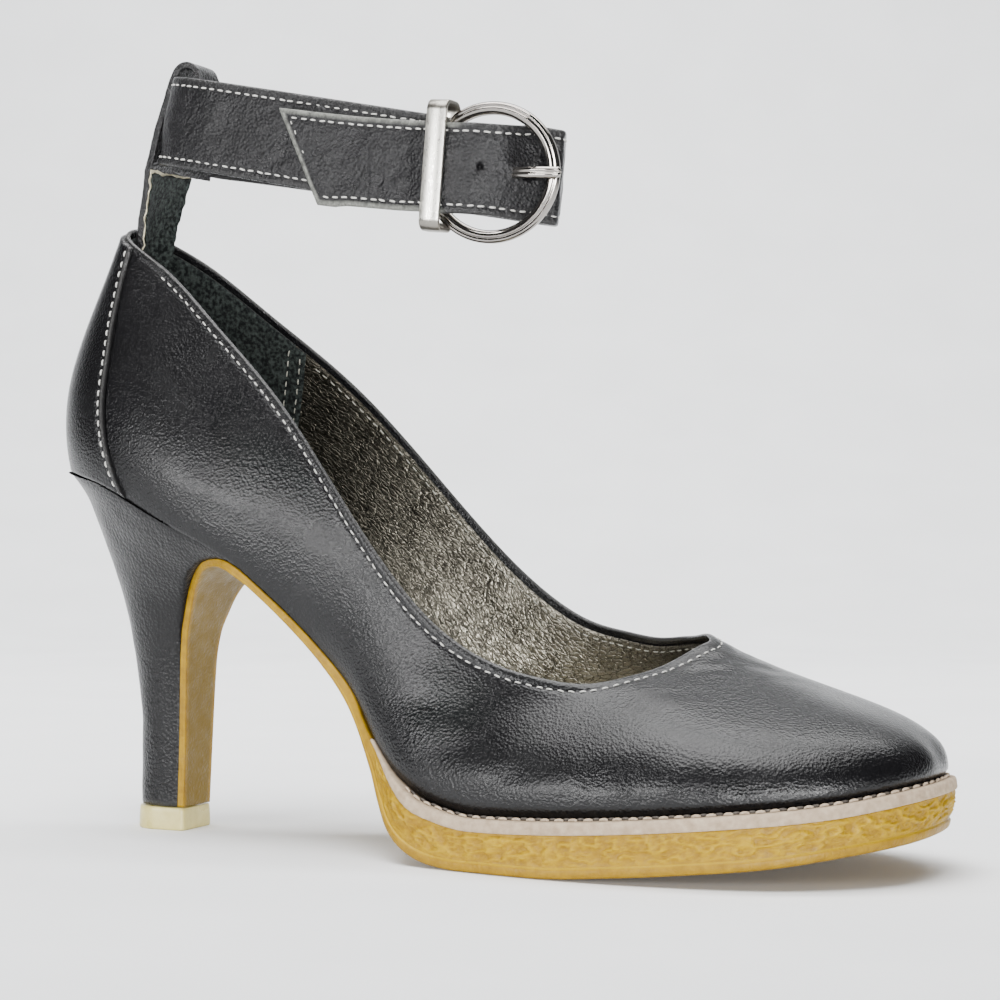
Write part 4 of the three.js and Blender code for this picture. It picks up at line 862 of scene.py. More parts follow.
# Welt: a strip round the front, its cut edge slightly rough, and the seam that holds it
def makeWelt():
    section = {
        "inset": [6, 2.4, 1, 0.45, 0.12, 0, 0, 0.03, 0.02, 0.04, 0.2, 6],
        "share": [0, 0, 0, 0.03, 0.12, 0.25, 0.45, 0.55, 0.7, 0.88, 1, 1],
    }
    u = np.linspace(6.3, around - 6.3, 760)[:, None]
    inset = np.array(section["inset"])[None] + 0 * u
    flat = soleOutline(u, inset)
    share = np.array(section["share"])
    rough = unevenness(flat + up * share[None, :, None] * 2, 1.6, 51)
    inset = inset + 0.06 * rough * (inset < 1.5)
    edge = soleOutline(u, inset)
    depth = last["clearance"] + share * (weltDepth(edge[..., 0]) + 0.27)
    points = underBed(edge[..., 0], edge[..., 1], depth)
    addBody("welt_strip", points, weltLeather, None, "welt")
    path = np.linspace(6.9, around - 6.9, 900)
    look = {**stitchLook, "pitch": 3.3, "thick": 0.66, "long": 2.2, "proud": 0.2}
    # The crevice seam's dark thread is painted shade
    seams = (("welt_stitches", 1.5, weltThread, 0), ("crevice_stitches", 2.25, creviceShadeThread, 1.6))
    for name, inset, thread, shift in seams:
        line = soleOutline(path, inset)
        line = underBed(line[..., 0], line[..., 1], 0.1)
        run = runLength(line)
        keep = run > shift
        addStitches(name, [(line[keep], np.broadcast_to(up, line[keep].shape))], thread, look)


# Lower face of the sole from the foot of the heel's front, round the bend and on to the toe
soleTable = {
    "seam": [-0.072, -0.006, 0.054, 0.091, 0.119, 0.143, 0.162, 0.179, 0.195, 0.214, 0.232, 0.25, 0.271,
             0.297, 0.333, 0.37, 0.398, 0.416, 0.434, 0.453, 0.471, 0.49, 0.508, 0.526, 0.545, 0.6276,
             0.71, 0.784, 0.8575, 0.931, 0.986, 1.018],
    "at": [0.1552, 0.1574, 0.159, 0.1605, 0.1637, 0.1706, 0.1775, 0.1862, 0.1982, 0.2138, 0.2313, 0.2483,
           0.2667, 0.2915, 0.3274, 0.3625, 0.3894, 0.4078, 0.4267, 0.4418, 0.4575, 0.4768, 0.4989, 0.5218,
           0.5448, 0.6276, 0.71, 0.784, 0.8575, 0.9283, 0.9807, 1.01],
    "over": [0.0258, 0.092, 0.152, 0.1885, 0.216, 0.239, 0.2575, 0.2726, 0.2837, 0.291, 0.2933, 0.2897,
             0.2795, 0.2593, 0.2262, 0.1913, 0.1614, 0.1333, 0.092, 0.0579, 0.0331, 0.017, 0.0064, 0.0016,
             0, 0, 0.0055, 0.0124, 0.0202, 0.0317, 0.0414, 0.0506],
    "half": [0.135, 0.14, 0.15, 0.16, 0.178, 0.205, 0.232, 0.27, 0.33, 0.4, 0.455, 0.49] + [0.5] * 20,
}


# Point of the lower face on the middle plane, from its place along the seam
def soleLow(seam):
    x = placeAlong(through(soleTable["seam"], soleTable["at"], seam))
    return stack(x, 0, through(soleTable["seam"], soleTable["over"], seam) * last["length"])


# Points off a face of the sole, square to it on the middle plane
def offFace(face, seam, off):
    along = unit(face(seam + 0.004) - face(seam - 0.004))
    return face(seam) + stack(-along[..., 2], 0, along[..., 0]) * off


# Upper face: a leather's thickness behind the lower face on the heel, and ahead of it right
# under the upper and its welt
def soleUp(seam):
    flap = offFace(soleLow, seam, soleLook["flap"])
    x = placeAlong(seam)
    roomFrom = placeAlong(weltLook["roomFrom"])
    room = ease((x - roomFrom) / (placeAlong(weltLook["start"] - 0.01) - roomFrom))
    under = underBed(x, 0, last["clearance"] + 0.02 + room * (weltDepth(x) + last["clearance"]))
    share = ease((seam - soleLook["heelSeam"]) / (soleLook["shankSeam"] - soleLook["heelSeam"]))
    return lerp(flap, under, share[..., None])


# Width of the seat where the sides of the sole begin, and how much of it its inner side has
seatHalf = abs(onRail(footRail, soleLook["sideFrom"])[1])
seatWidth = 2 * seatHalf
medialSeat = onRail(footRail, around - soleLook["sideFrom"])[1] / seatHalf


# Sole: loops across it, over the bottom, up the side with its rim and wrinkled wall, over the
# top and down the other side
def makeSole():
    look = soleLook
    rim = {
        "rise": [0, 0.12, 0.35, 0.7, 1.2, 1.8, 2.1, 2.3, 2.45, 2.6],
        "inset": [1.3, 0.75, 0.35, 0.1, 0, 0.02, 0.1, 0.3, 0.52, 0.5],
    }
    wallSteps = np.linspace(0, 1, 24)[1:]
    heelSeam = np.linspace(soleTable["seam"][0], 0.254, 110, endpoint=False)
    u = np.linspace(look["sideFrom"], toeRow, 330)

    # Side of the sole at a seam: lower and upper face, shares of the height for the rim and
    # the wall over it, and how nearly the side has its full height
    def wallOf(seam):
        low, high = soleLow(seam), soleUp(seam)
        height = np.linalg.norm(high - low, axis=-1)
        thin = np.minimum(1, height / look["fullSide"])
        rise = np.array(rim["rise"])[None] * thin[:, None]
        rimShare = rise / height[:, None]
        share = np.concatenate([rimShare, lerp(rimShare[:, -1:], 1, wallSteps[None])], 1)
        return low, high, share, thin[:, None]

    wallInset = look["rimInset"] - 0.12 * np.sin(np.pi * wallSteps) + 0.15 * wallSteps**8
    inset = np.concatenate([rim["inset"], wallInset])
    onWall = np.concatenate([np.zeros(len(rim["rise"])), np.sin(np.pi * wallSteps) ** 0.3])

    # Points of one side: the seam gives the place along and the height, y the way across
    def sidePoints(side):
        low, high, share, thin = wallOf(heelSeam)
        half = through(soleTable["seam"], soleTable["half"], heelSeam)[:, None] * seatWidth
        wide = 1 if side < 0 else lerp(1, medialSeat, ease(heelSeam[:, None] / 0.25))
        heel = lerp(low[:, None], high[:, None], share[..., None])
        heel[..., 1] = side * (half - inset * thin) * wide
        at = u if side < 0 else around - u
        flat = soleOutline(at, 0.0)
        low, high, share, thin = wallOf(shareAlong(flat[:, 0]))
        edge = soleOutline(at[:, None], inset * thin)
        mid = np.concatenate([flat[:, None, :2] + 0 * edge[..., :2], (share * 12)[..., None]], -1)
        ridge = wrinkles(mid, 3.6, 61, (1.5, 1.5, 1)) + 0.7 * wrinkles(mid, 2.0, 62)
        ridge = ridge * onWall * ease((thin - 0.45) / 0.5)
        edge = soleOutline(at[:, None], inset * thin - look["wrinkle"] * (ridge - 0.45) * onWall * thin)
        seam = shareAlong(edge[..., 0])
        low, high = soleLow(seam), soleUp(seam)
        fore = lerp(low, high, share[..., None])
        fore[..., 1] = edge[..., 1]
        return np.concatenate([heel, fore]), np.concatenate([0 * heel[..., 0], ridge])

    lateral, lateralRidge = sidePoints(-1)
    medial, medialRidge = sidePoints(1)
    s = np.linspace(0, 1, 26)[1:-1][None, :, None]
    bottom = lerp(medial[:, :1], lateral[:, :1], s)
    top = lerp(lateral[:, -1:], medial[:, -1:], s)
    points = np.concatenate([bottom, lateral, top, medial[:, ::-1]], 1)
    none = np.zeros(bottom.shape[:2])
    ridge = np.concatenate([none, lateralRidge, none, medialRidge[:, ::-1]], 1)
    width = np.abs(medial[:, 0, 1] - lateral[:, 0, 1])[:, None]
    fromEdge = np.minimum(s[0, :, 0], 1 - s[0, :, 0]) * width
    # Painted shade: the underside at the back, under the arch, is darkened away from its edge
    back = 1 - ease((bottom[..., 0] - placeAlong(0.36)) / 12)
    archShade = 0.85 * back * ease((fromEdge - 0.7) / 0.7)
    archShade = np.concatenate([archShade, 0 * lateralRidge, none, 0 * medialRidge], 1)
    # Painted highlight: a paler line along the top of the rim, on the lateral side only
    rimHighlight = 0.6 * hump(np.arange(len(inset)) - 7.5, 1.2) + 0 * lateralRidge
    wearAndHighlight = np.concatenate([none, rimHighlight, none, 0 * medialRidge], 1)
    paint = {"ridge": ridge, "archShade": archShade, "wearAndHighlight": wearAndHighlight}
    addBody("crepe_sole", points, crepe, paint, "outsole")


makeWelt()
makeSole()
print("welt and sole made")

# Heel, in millimetres, and its levels from the tread to the seat as shares of the last's length
heelLook = {"neck": 13.4, "neckRound": 0.5, "seatRound": 0.68, "levels": 120, "gap": 0.12}
heelTable = {
    "rearAt": [-0.0336, -0.0334, -0.034, -0.039, -0.0478, -0.0611, -0.0795, -0.0998, -0.1172, -0.1236],
    "rearOver": [0.0258, 0.069, 0.117, 0.1655, 0.217, 0.2667, 0.3177, 0.3683, 0.3915, 0.401],
    "frontAt": [0.06, 0.06, 0.06, 0.06, 0.064, 0.074, 0.092, 0.115, 0.134, 0.142],
    "frontOver": [0.0258, 0.069, 0.117, 0.161, 0.2, 0.2345, 0.258, 0.281, 0.294, 0.301],
    "flare": [0, 0, 0.01, 0.035, 0.12, 0.275, 0.52, 0.82, 0.965, 1],
    "frontFlare": [-0.01, 0, 0.01, 0.035, 0.09, 0.18, 0.38, 0.7, 0.95, 1],
    "follow": [0, 0, 0, 0, 0, 0.15, 0.4, 0.7, 0.92, 1],
}


# Heel: at each level a straight line from its back to the sole's flap, with a round back and
# nearly straight sides; the upper levels take up the seat's bend and end under it
def makeHeel():
    look = heelLook
    k = np.linspace(0, 9, look["levels"])[:, None]
    row = {name: through(np.arange(10), values, k) for name, values in heelTable.items()}
    half = lerp(look["neck"], seatWidth, row["flare"]) / 2
    frontHalf = lerp(look["neck"], seatWidth, row["frontFlare"]) / 2
    bend = lerp(look["neckRound"], look["seatRound"], row["flare"])
    rear = stack(row["rearAt"], 0, row["rearOver"]) * last["length"]
    front = stack(row["frontAt"], 0, row["frontOver"]) * last["length"]
    seatFrom, seatTo = -last["seatBehind"], placeAlong(0.264)

    # Points of a level: straight from its back to its front, less so where it follows the seat
    def onLevel(share):
        p = lerp(rear, front, share[..., None])
        chord = lerp(bed(seatFrom), bed(seatTo), (p[..., 0] - seatFrom) / (seatTo - seatFrom))
        p[..., 2] += row["follow"] * (bed(p[..., 0]) - chord)
        return p

    seam = np.linspace(soleTable["seam"][0], soleLook["shankSeam"], 160)
    flap = offFace(soleUp, seam, look["gap"])
    tries = np.linspace(0, 1, 400)[None] + 0 * k
    tried = onLevel(tries)
    room = tried[..., 2] - np.interp(tried[..., 0], flap[:, 0], flap[:, 2], left=-99)
    cut = np.where((room < 0).any(1), np.argmax(room < 0, 1), 399)[:, None] / 399
    angle = np.linspace(0, np.pi / 2, 30)
    backShare, backOut = bend * (1 - np.cos(angle)), half * np.sin(angle)
    frontShare = lerp(bend, np.maximum(cut, bend), np.linspace(0, 1, 18)[1:])
    frontOut = lerp(half, frontHalf, ((frontShare - bend) / (1 - bend)) ** 2)
    share = np.concatenate([backShare, frontShare], 1)
    out = np.concatenate([backOut, frontOut], 1)
    line = onLevel(share)
    corner = hump((share[:, -1:] - share) * np.linalg.norm(front - rear, axis=-1), 0.5)
    out = out - 0.35 * corner
    slope = bed(line[..., 0] + 0.5) - bed(line[..., 0] - 0.5)
    line[..., 2] = np.minimum(line[..., 2], bed(line[..., 0]) - 0.1 * np.hypot(1, slope))
    low = ease((line[..., 2] - 5.6) / 0.5)
    out = out - 0.25 * (1 - low)
    lateral = line + stack(0, -out, 0)
    medial = line + stack(0, out, 0)
    breast = lerp(lateral[:, -1:], medial[:, -1:], np.linspace(0, 1, 10)[1:-1][None, :, None])
    points = np.concatenate([lateral, breast, medial[:, :0:-1]], 1)
    points = points + 0.05 * unevenness(points, 9, 71)[..., None] * [1, 1, 0]
    wearAndHighlight = 0.5 * hump(points[..., 2] - 5.9, 0.8)
    addBody("heel_cover", points, heelLeather, {"wearAndHighlight": wearAndHighlight}, "heel")


# Tread, in millimetres, its round back as a share of the length
treadLook = {"long": 15, "wide": 14.2, "thick": 5.3, "corner": 1.2, "round": 0.45}


# Tread: a plan that is round at the back with two corners in front, slightly flared
def makeTread():
    look = treadLook
    levels = {
        "over": [0, 0.12, 0.35, 0.7, 2, 4, 4.7, 5.1, 5.3],
        "grow": [-0.35, -0.12, -0.03, 0, -0.02, -0.1, -0.14, -0.2, -0.32],
    }
    angle = np.linspace(0, np.pi / 2, 26)
    turn = np.linspace(0, np.pi / 2, 7)
    half, corner = look["wide"] / 2, look["corner"]
    backTo, cornerFrom = look["round"] * look["long"], look["long"] - corner
    straight = np.linspace(backTo, cornerFrom, 12)[1:-1]
    x = np.concatenate([backTo * (1 - np.cos(angle)), straight, cornerFrom + corner * np.sin(turn)])
    cornerOut = half - 0.15 - corner + corner * np.cos(turn)
    out = np.concatenate([half * np.sin(angle), np.full(10, half - 0.1), cornerOut])
    grow = np.array(levels["grow"])[:, None]
    over = np.array(levels["over"])[:, None]
    px = (x - look["long"] / 2) * (1 + grow / (look["long"] / 2))
    py = out * (1 + grow / half)
    lateral, medial = stack(px, -py, over), stack(px, py, over)
    front = lerp(lateral[:, -1:], medial[:, -1:], np.linspace(0, 1, 8)[1:-1][None, :, None])
    points = np.concatenate([lateral, front, medial[:, :0:-1]], 1)
    addBody("heel_tread", points, treadRubber, None, "top_piece")


makeHeel()
makeTread()
print("heel made")

# Ankle strap, in millimetres, with its changes along the route as shares of it
strapLook = {
    "width": 21.2, "thick": 1.9, "loop": 105.4, "half": 16.8, "dip": math.radians(11), "rise": 13.8,
    "forward": 11.95, "freeWidth": 20.3, "freeSlant": 0.7, "slantFrom": 0.95, "slantTo": 0.983,
    "foldLean": 0.1, "foldFrom": 0.42, "narrowFrom": 0.66, "narrowTo": 0.74, "rawFrom": 0.8,
    "steps": 760, "across": 40, "stitchIn": 2.0, "stitchDip": 0.18, "endGap": 2.3, "waves": 0.2,
}

# Buckle's ring, in millimetres, its place to the side as a share of the loop's half width
ringLook = {
    "radius": 14.25, "wire": 1.5, "bar": 1.25, "ahead": 89.6, "out": -1.07, "barBehind": 11.6,
    "turn": math.radians(7), "groove": 0.3,
}

# Directions of the strap's loop, and its back
loopAhead = np.array([math.cos(strapLook["dip"]), 0, -math.sin(strapLook["dip"])])
loopRise = np.array([math.sin(strapLook["dip"]), 0, math.cos(strapLook["dip"])])
loopSide = np.array([0.0, 1.0, 0.0])
loopBack = upperPoint(0.0, 1.0) + [strapLook["forward"], 0, strapLook["rise"]]


# The strap's own directions: along the dipping loop, out to the inner side, and over it
def inLoop(along, out, over):
    along, out, over = (np.asarray(a, float)[..., None] for a in (along, out, over))
    return loopBack + loopAhead * along + loopSide * out + loopRise * over


# The ring's directions, turned a little towards the strap's bend
def inRing(along, out, over):
    turn = ringLook["turn"]
    return inLoop(
        ringLook["ahead"] + along * math.cos(turn) - out * math.sin(turn),
        ringLook["out"] * strapLook["half"] + out * math.cos(turn) + along * math.sin(turn),
        strapLook["width"] / 2 + over,
    )


# Route from the buckle's bar round the heel and the inner side, round the front and back on
# the outside, in shares of the loop's length and half width, and layers of leather
strapTable = {
    "along": [0.719, 0.664, 0.475, 0.228, 0.104, 0.038, 0.0057, 0, 0, 0.0057, 0.038, 0.104, 0.275, 0.555,
              0.74, 0.853, 0.902, 0.932, 0.952, 0.963, 0.953, 0.935, 0.915, 0.893, 0.866, 0.829, 0.798,
              0.7717, 0.7392, 0.7108, 0.664, 0.57, 0.475, 0.4],
    "out": [-1.104, -1.089, -1.054, -0.976, -0.893, -0.738, -0.56, -0.357, 0.357, 0.56, 0.75, 0.893,
            0.976, 0.964, 0.83, 0.583, 0.298, -0.03, -0.327, -0.56, -0.575, -0.675, -0.775, -0.93, -1.104,
            -1.104, -1.104, -1.104, -1.104, -1.1, -1.089, -1.072, -1.054, -1.035],
    "layers": [0] * 24 + [0.24, 1.38, 1.7, 1.8, 1.82, 1.58, 1.2, 1.18, 1.18, 1.18],
    "sink": [0] * 11 + [-0.02, -0.05, -0.08, -0.1, -0.1, -0.095, -0.09, -0.085, -0.08, -0.08, -0.075,
                        -0.07, -0.05, -0.03, -0.005, 0.012, 0.035, 0.048, 0.058, 0.08, 0.115, 0.15, 0.17],
}
strapRoute = stack(
    np.array(strapTable["along"]) * strapLook["loop"],
    np.array(strapTable["out"]) * strapLook["half"] - np.array(strapTable["layers"]) * strapLook["thick"],
    -np.array(strapTable["sink"]) * strapLook["width"],
)


# Point of the strap: t along the route, over from its lower edge in shares of its width, and
# off its middle towards the outside in millimetres
def strapPoint(t, over, off):
    look = strapLook
    t, over, off = np.broadcast_arrays(*(np.asarray(a, float) for a in (t, over, off)))
    p = onRoute(strapRoute, t)
    tangent = unit(routeStep(strapRoute, t, 1e-3) * [1, 1, 0])
    narrow = ease((t - look["narrowFrom"]) / (look["narrowTo"] - look["narrowFrom"]))
    slant = look["freeSlant"] * np.clip((t - look["slantFrom"]) / (look["slantTo"] - look["slantFrom"]), 0, 1)
    slant = slant + look["foldLean"] * ease((t - look["foldFrom"]) / 0.08) * (1 - narrow)
    width = lerp(look["width"], look["freeWidth"], narrow)
    height = (over - 0.5) * width
    return inLoop(
        p[..., 0] - tangent[..., 1] * off - slant * height,
        p[..., 1] + tangent[..., 0] * off,
        p[..., 2] + look["width"] / 2 + height,
    )


# Holes, in millimetres from the middle of the ring, and the cup that the prong presses in
holes = {"prongAt": 7.6, "prongOver": 1.2, "spareAt": -1.8, "spareOver": 0.7, "cup": 1.25, "cupWide": 3.6}


# Place of a point in the ring's directions: along from its middle and over it
def fromRing(points):
    away = points - loopBack
    along = away @ loopAhead - ringLook["ahead"]
    out = away @ loopSide - ringLook["out"] * strapLook["half"]
    over = away @ loopRise - strapLook["width"] / 2
    return along * math.cos(ringLook["turn"]) + out * math.sin(ringLook["turn"]), over


# Strap: two leathers with a parting line in their edge, stitched near both edges, softly
# wrinkled, with a raw edge on its free end, a dent round the spare hole and a cup round the
# prong's hole
def makeStrap():
    look = strapLook
    half = look["thick"] / 2
    length = runLength(onRoute(strapRoute, np.linspace(0, 1, 2000)))[-1]
    t = np.linspace(0, 1, look["steps"])
    t = np.concatenate([t[:-1], 1 - (1 - t[-2]) * np.array([0.8, 0.5, 0.25, 0.1, 0.0])])[:, None]
    edge = {
        "in": [0.9, 0.45, 0.15, 0.0, 0.0, 0.28, 0.0, 0.0, 0.15, 0.45, 0.9],
        "off": [1.0, 0.97, 0.82, 0.5, 0.2, 0.06, -0.1, -0.5, -0.82, -0.97, -1.0],
    }
    edgeIn, edgeOff = np.array(edge["in"]) / look["width"], np.array(edge["off"])
    face = lerp(edgeIn[0], 1 - edgeIn[0], np.linspace(0, 1, look["across"])[1:-1])
    over = np.concatenate([face, 1 - edgeIn, face[::-1], edgeIn[::-1]])
    off = np.concatenate([np.ones(len(face)), edgeOff, -np.ones(len(face)), edgeOff[::-1]]) * half
    edgeFace = (edgeOff > 0.9) * 1.0
    isFace = np.concatenate([np.ones(len(face)), edgeFace, np.zeros(len(face)), edgeFace[::-1]])
    fromEdge = np.minimum(over, 1 - over) * look["width"]
    flat = strapPoint(t, over, off)
    end = 1 - ease((t - (1 - 0.7 / length)) / (0.7 / length))
    stitched = look["stitchDip"] * hump(fromEdge - look["stitchIn"], 0.45)
    stitched = stitched - 0.1 * hump((fromEdge - 7.5) / 4, 1)
    wavy = look["waves"] * unevenness(flat * [1, 1, 0.55], 9, 81) + 0.07 * unevenness(flat, 3.2, 82)
    faceSign = np.maximum(isFace, (off < -0.9 * half) * 1.0) * np.sign(off)
    relief = faceSign * (wavy * ease(fromEdge / 3) - stitched)
    free = ease((t - 0.62) / 0.02) * isFace
    along, height = fromRing(flat)
    spare = np.hypot(along - holes["spareAt"], height - holes["spareOver"])
    prong = np.hypot((along - holes["prongAt"]) / 1.25, height - holes["prongOver"])
    relief = relief - free * (1.4 * ease((0.85 - spare) / 0.4) + 0.22 * hump(spare, 1.8))
    relief = relief + free * holes["cup"] * hump(np.hypot(along - 6.8, height - 1), holes["cupWide"])
    relief = relief - free * 1.6 * ease((1.7 - prong) / 0.5)
    points = strapPoint(t, over, off * (0.55 + 0.45 * end) + relief * end)
    rawSide = 1 - ease((fromEdge - 0.75) / 0.35) + 0 * t
    endDistance = (1 - t) * length
    raw = rawSide * ease((t - look["rawFrom"]) / 0.03)
    raw = np.maximum(raw, 1 - ease((endDistance - 1.3) / 0.3)) * (0.75 + 0.25 * unevenness(flat, 1.5, 83))
    raw = np.clip(raw, 0, 1)
    wearAndHighlight = 0.25 * hump(fromEdge - 0.4, 0.5) * (1 - raw)
    addBody("strap", points, strapLeather, {"raw": raw, "wearAndHighlight": wearAndHighlight}, "ankle_strap")
    stitchEnd, stitchIn = 1 - look["endGap"] / length, look["stitchIn"] / look["width"]
    run = np.linspace(0.02, stitchEnd, 1500)
    rows = []
    for at, share in ((run, stitchIn), (run, 1 - stitchIn), (stitchEnd, np.linspace(0.1, 0.9, 60))):
        line = strapPoint(at, share, half - 0.1)
        rows.append((line, line - strapPoint(at, share, 0)))
    addStitches("strap_stitches", rows, whiteThread, stitchLook)


makeStrap()
print("strap made")


# Ring: a bent wire, round in front and straight at the bar, its outer face with a groove
def makeRing():
    look = ringLook
    angle = np.linspace(-1, 1, 17) * math.radians(130)
    arc = np.stack([look["radius"] * np.cos(angle), look["radius"] * np.sin(angle), 0 * angle], -1)
    upper = np.array([[-0.9, 0.66, 0], [-0.985, 0.5, 0], [-1, 0.25, 0], [-1, 0, 0]])
    bar = np.vstack([upper, upper[-2::-1] * [1, -1, 1]]) * [look["barBehind"], look["radius"], 1]
    dense = onRoute(np.vstack([arc, bar]), np.linspace(0, 1, 2401), closed=True)
    run = runLength(dense)
    at = np.linspace(0, run[-1], 260, endpoint=False)
    path = alongPath(dense, run, at)
    tangent = unit(np.roll(path, -1, 0) - np.roll(path, 1, 0))[:, None]
    thick = lerp(look["bar"], look["wire"], ease((path[:, 0] + look["barBehind"]) / 1.5))[:, None]
    turn = np.linspace(0, 2 * np.pi, 48, endpoint=False)
    groove = look["groove"] * hump(np.angle(np.exp(1j * (turn + 1.25))), 0.17)
    thick = thick * (1 - groove * ease((path[:, :1] + look["barBehind"]) / 3))
    level, out = thick * np.cos(turn), thick * np.sin(turn)
    x, y = path[:, None, 0], path[:, None, 1]
    points = inRing(x + tangent[..., 1] * level, out, y - tangent[..., 0] * level)
    addBody("buckle_ring", points, darkNickel, None, "buckle_frame", ring=True)


# Prong, in millimetres, and how far it leans to its free side
prongLook = {"wide": 2.6, "deep": 1.9, "slope": 0.148}


# Prong: a folded strip with a slit along its outer side, from the bar over the ring
def makeProng():
    look, ring = prongLook, ringLook
    rest = ring["wire"] + 0.3 + look["deep"] / 2
    rows = np.array([
        [-10.05, 0.25], [-1, 0.75], [1, 1.15], [3, 1.05], [4.6, 0.35], [6.4, -0.8], [8.5, -1.9], [10.5, -2.5],
        [12.6, -rest], [ring["radius"], -rest], [ring["radius"] + ring["wire"] + 0.7, -rest + 0.5],
    ])
    rows = np.concatenate([rows, np.zeros((len(rows), 1))], 1)
    t = np.linspace(0, 1, 90)
    path = onRoute(rows, t)
    tangent = unit(routeStep(rows, t, 0.004))[:, None]
    taper = np.minimum(1, np.sqrt(np.maximum(0, (1 - t) / 0.035)))[:, None] * 0.98 + 0.02
    turn = np.linspace(0, 2 * np.pi, 36, endpoint=False)
    slit = 0.5 * hump(np.angle(np.exp(1j * (turn + np.pi / 2))), 0.16)
    square = (np.abs(np.cos(turn)) ** 2.6 + np.abs(np.sin(turn)) ** 2.6) ** (-1 / 2.6)
    thick = look["deep"] / 2 * taper * np.sin(turn) * square * (1 - slit)
    wide = look["wide"] / 2 * taper * np.cos(turn) * square
    x, y = path[:, None, 0], path[:, None, 1]
    points = inRing(x - tangent[..., 1] * thick, y + tangent[..., 0] * thick, wide + x * look["slope"])
    addBody("prong", points, darkNickel, None, "buckle_prong")


# Keeper, in millimetres. strapOut, layers: where the lapped strap lies under it, in shares of the
# loop's half width and in layers of leather
keeperLook = {
    "width": 4.7, "thick": 0.9, "lean": math.radians(6.8), "bend": 1.6, "behind": 11.7, "room": 3.1,
    "low": 0.6, "strapOut": 1.104, "layers": 1.82,
}


# Keeper: a flat band carried round a rectangle with rounded corners, its own edges eased
def makeKeeper():
    look, ring, strap = keeperLook, ringLook, strapLook
    centre = ring["ahead"] - look["behind"]
    lean = look["lean"]
    leanAhead = loopAhead * math.cos(lean) + loopRise * math.sin(lean)
    leanRise = loopRise * math.cos(lean) - loopAhead * math.sin(lean)
    halfHeight = strap["width"] / 2 + look["room"]
    layersIn = -look["strapOut"] * strap["half"]
    inner = layersIn + strap["thick"] / 2 + 0.5
    outer = layersIn - look["layers"] * strap["thick"] - strap["thick"] / 2 - 0.55
    middle = inLoop(centre, (inner + outer) / 2, strap["width"] / 2 - look["low"])
    halfX, halfY, bend = (inner - outer) / 2, halfHeight, look["bend"]
    angle = np.concatenate([np.linspace(k, k + 1, 9) for k in range(4)]) * np.pi / 2
    cornerX = np.repeat([1, -1, -1, 1], 9) * (halfX - bend)
    cornerY = np.repeat([1, 1, -1, -1], 9) * (halfY - bend)
    section = {
        "off": [0, 0.12, 0.5, 0.78, 0.9, 0.9, 0.9, 0.78, 0.5, 0.12, 0, 0],
        "at": [-0.96, -1, -1, -1, -0.95, 0, 0.95, 1, 1, 1, 0.96, 0],
    }
    radius = bend + np.array(section["off"]) / 0.9 * look["thick"]
    x = cornerX[:, None] + np.cos(angle)[:, None] * radius
    y = cornerY[:, None] + np.sin(angle)[:, None] * radius
    z = np.array(section["at"]) * look["width"] / 2
    points = middle + loopSide * x[..., None] + leanRise * y[..., None] + leanAhead * (z + 0 * x)[..., None]
    # Painted shade: the bends at the band's ends are darkened, standing in for their dark reflections
    paintedBendShade = 0.85 * ease((np.abs(y) - halfHeight + look["bend"]) / 0.5) + 0 * points[..., 0]
    addBody("keeper", points, brightNickel, {"paintedBendShade": paintedBendShade}, "strap_keeper", ring=True)


makeRing()
makeProng()
makeKeeper()
print("buckle made")

# Back tab, in millimetres, with the rows between its foot and the strap
tabLook = {"width": 17, "thick": 2.2, "foot": 11, "gap": 0.45, "end": 0.6, "hang": 1.3, "loose": 0.5}
tabTable = {
    "share": [0.12, 0.37, 0.66, 0.87], "wide": [0.88, 0.95, 1, 1.1], "bow": [0.14, 0.105, 0.045, 0.01],
}


# Rows of the tab's middle from its foot inside the collar, up behind the strap, over it and
# down inside it: place, width, thickness and how far its edges come forward
def tabRows():
    look, strap = tabLook, strapLook
    half = look["thick"] / 2
    behind = -strap["thick"] / 2 - look["gap"] - half
    inside = strap["thick"] / 2 + look["gap"] + half * look["end"]
    depth = last["wall"] + 0.3 + half
    v = 1 - look["foot"] / last["backHeight"] * (1 - np.arange(3) / 3)
    rows = [(wallPoint(0.0, at, depth), 0.78, 1, 0.23) for at in v]
    start, stop = wallPoint(0.0, 1.0, depth), inLoop(behind, 0, 0)
    rows += [(lerp(start, stop, share), wide, 1, bow) for share, wide, bow in zip(*tabTable.values())]
    for share, wide in ((0, 1.12), (0.35, 1.02), (0.7, 0.82), (0.97, 0.66)):
        rows.append((inLoop(behind, 0, share * strap["width"]), wide, 1, 0))
    top = strap["width"] + look["gap"] + 0.3
    radius = (inside + look["loose"] - behind) / 2
    for angle in np.pi * np.arange(1, 6) / 6:
        p = inLoop(behind + radius * (1 - math.cos(angle)), 0, top + radius * math.sin(angle))
        rows.append((p, 0.58, lerp(1, look["end"], angle / np.pi), 0))
    for share, loose in ((0.97, 1), (0.6, 0.35), (0.25, 0.08), (0.04, 0)):
        p = inLoop(inside + loose * look["loose"], 0, share * strap["width"])
        rows.append((p, lerp(1, 0.62, share), look["end"], 0.06))
    rows.append((inLoop(inside, 0, -look["hang"]), 1, look["end"], 0.06))
    return rows


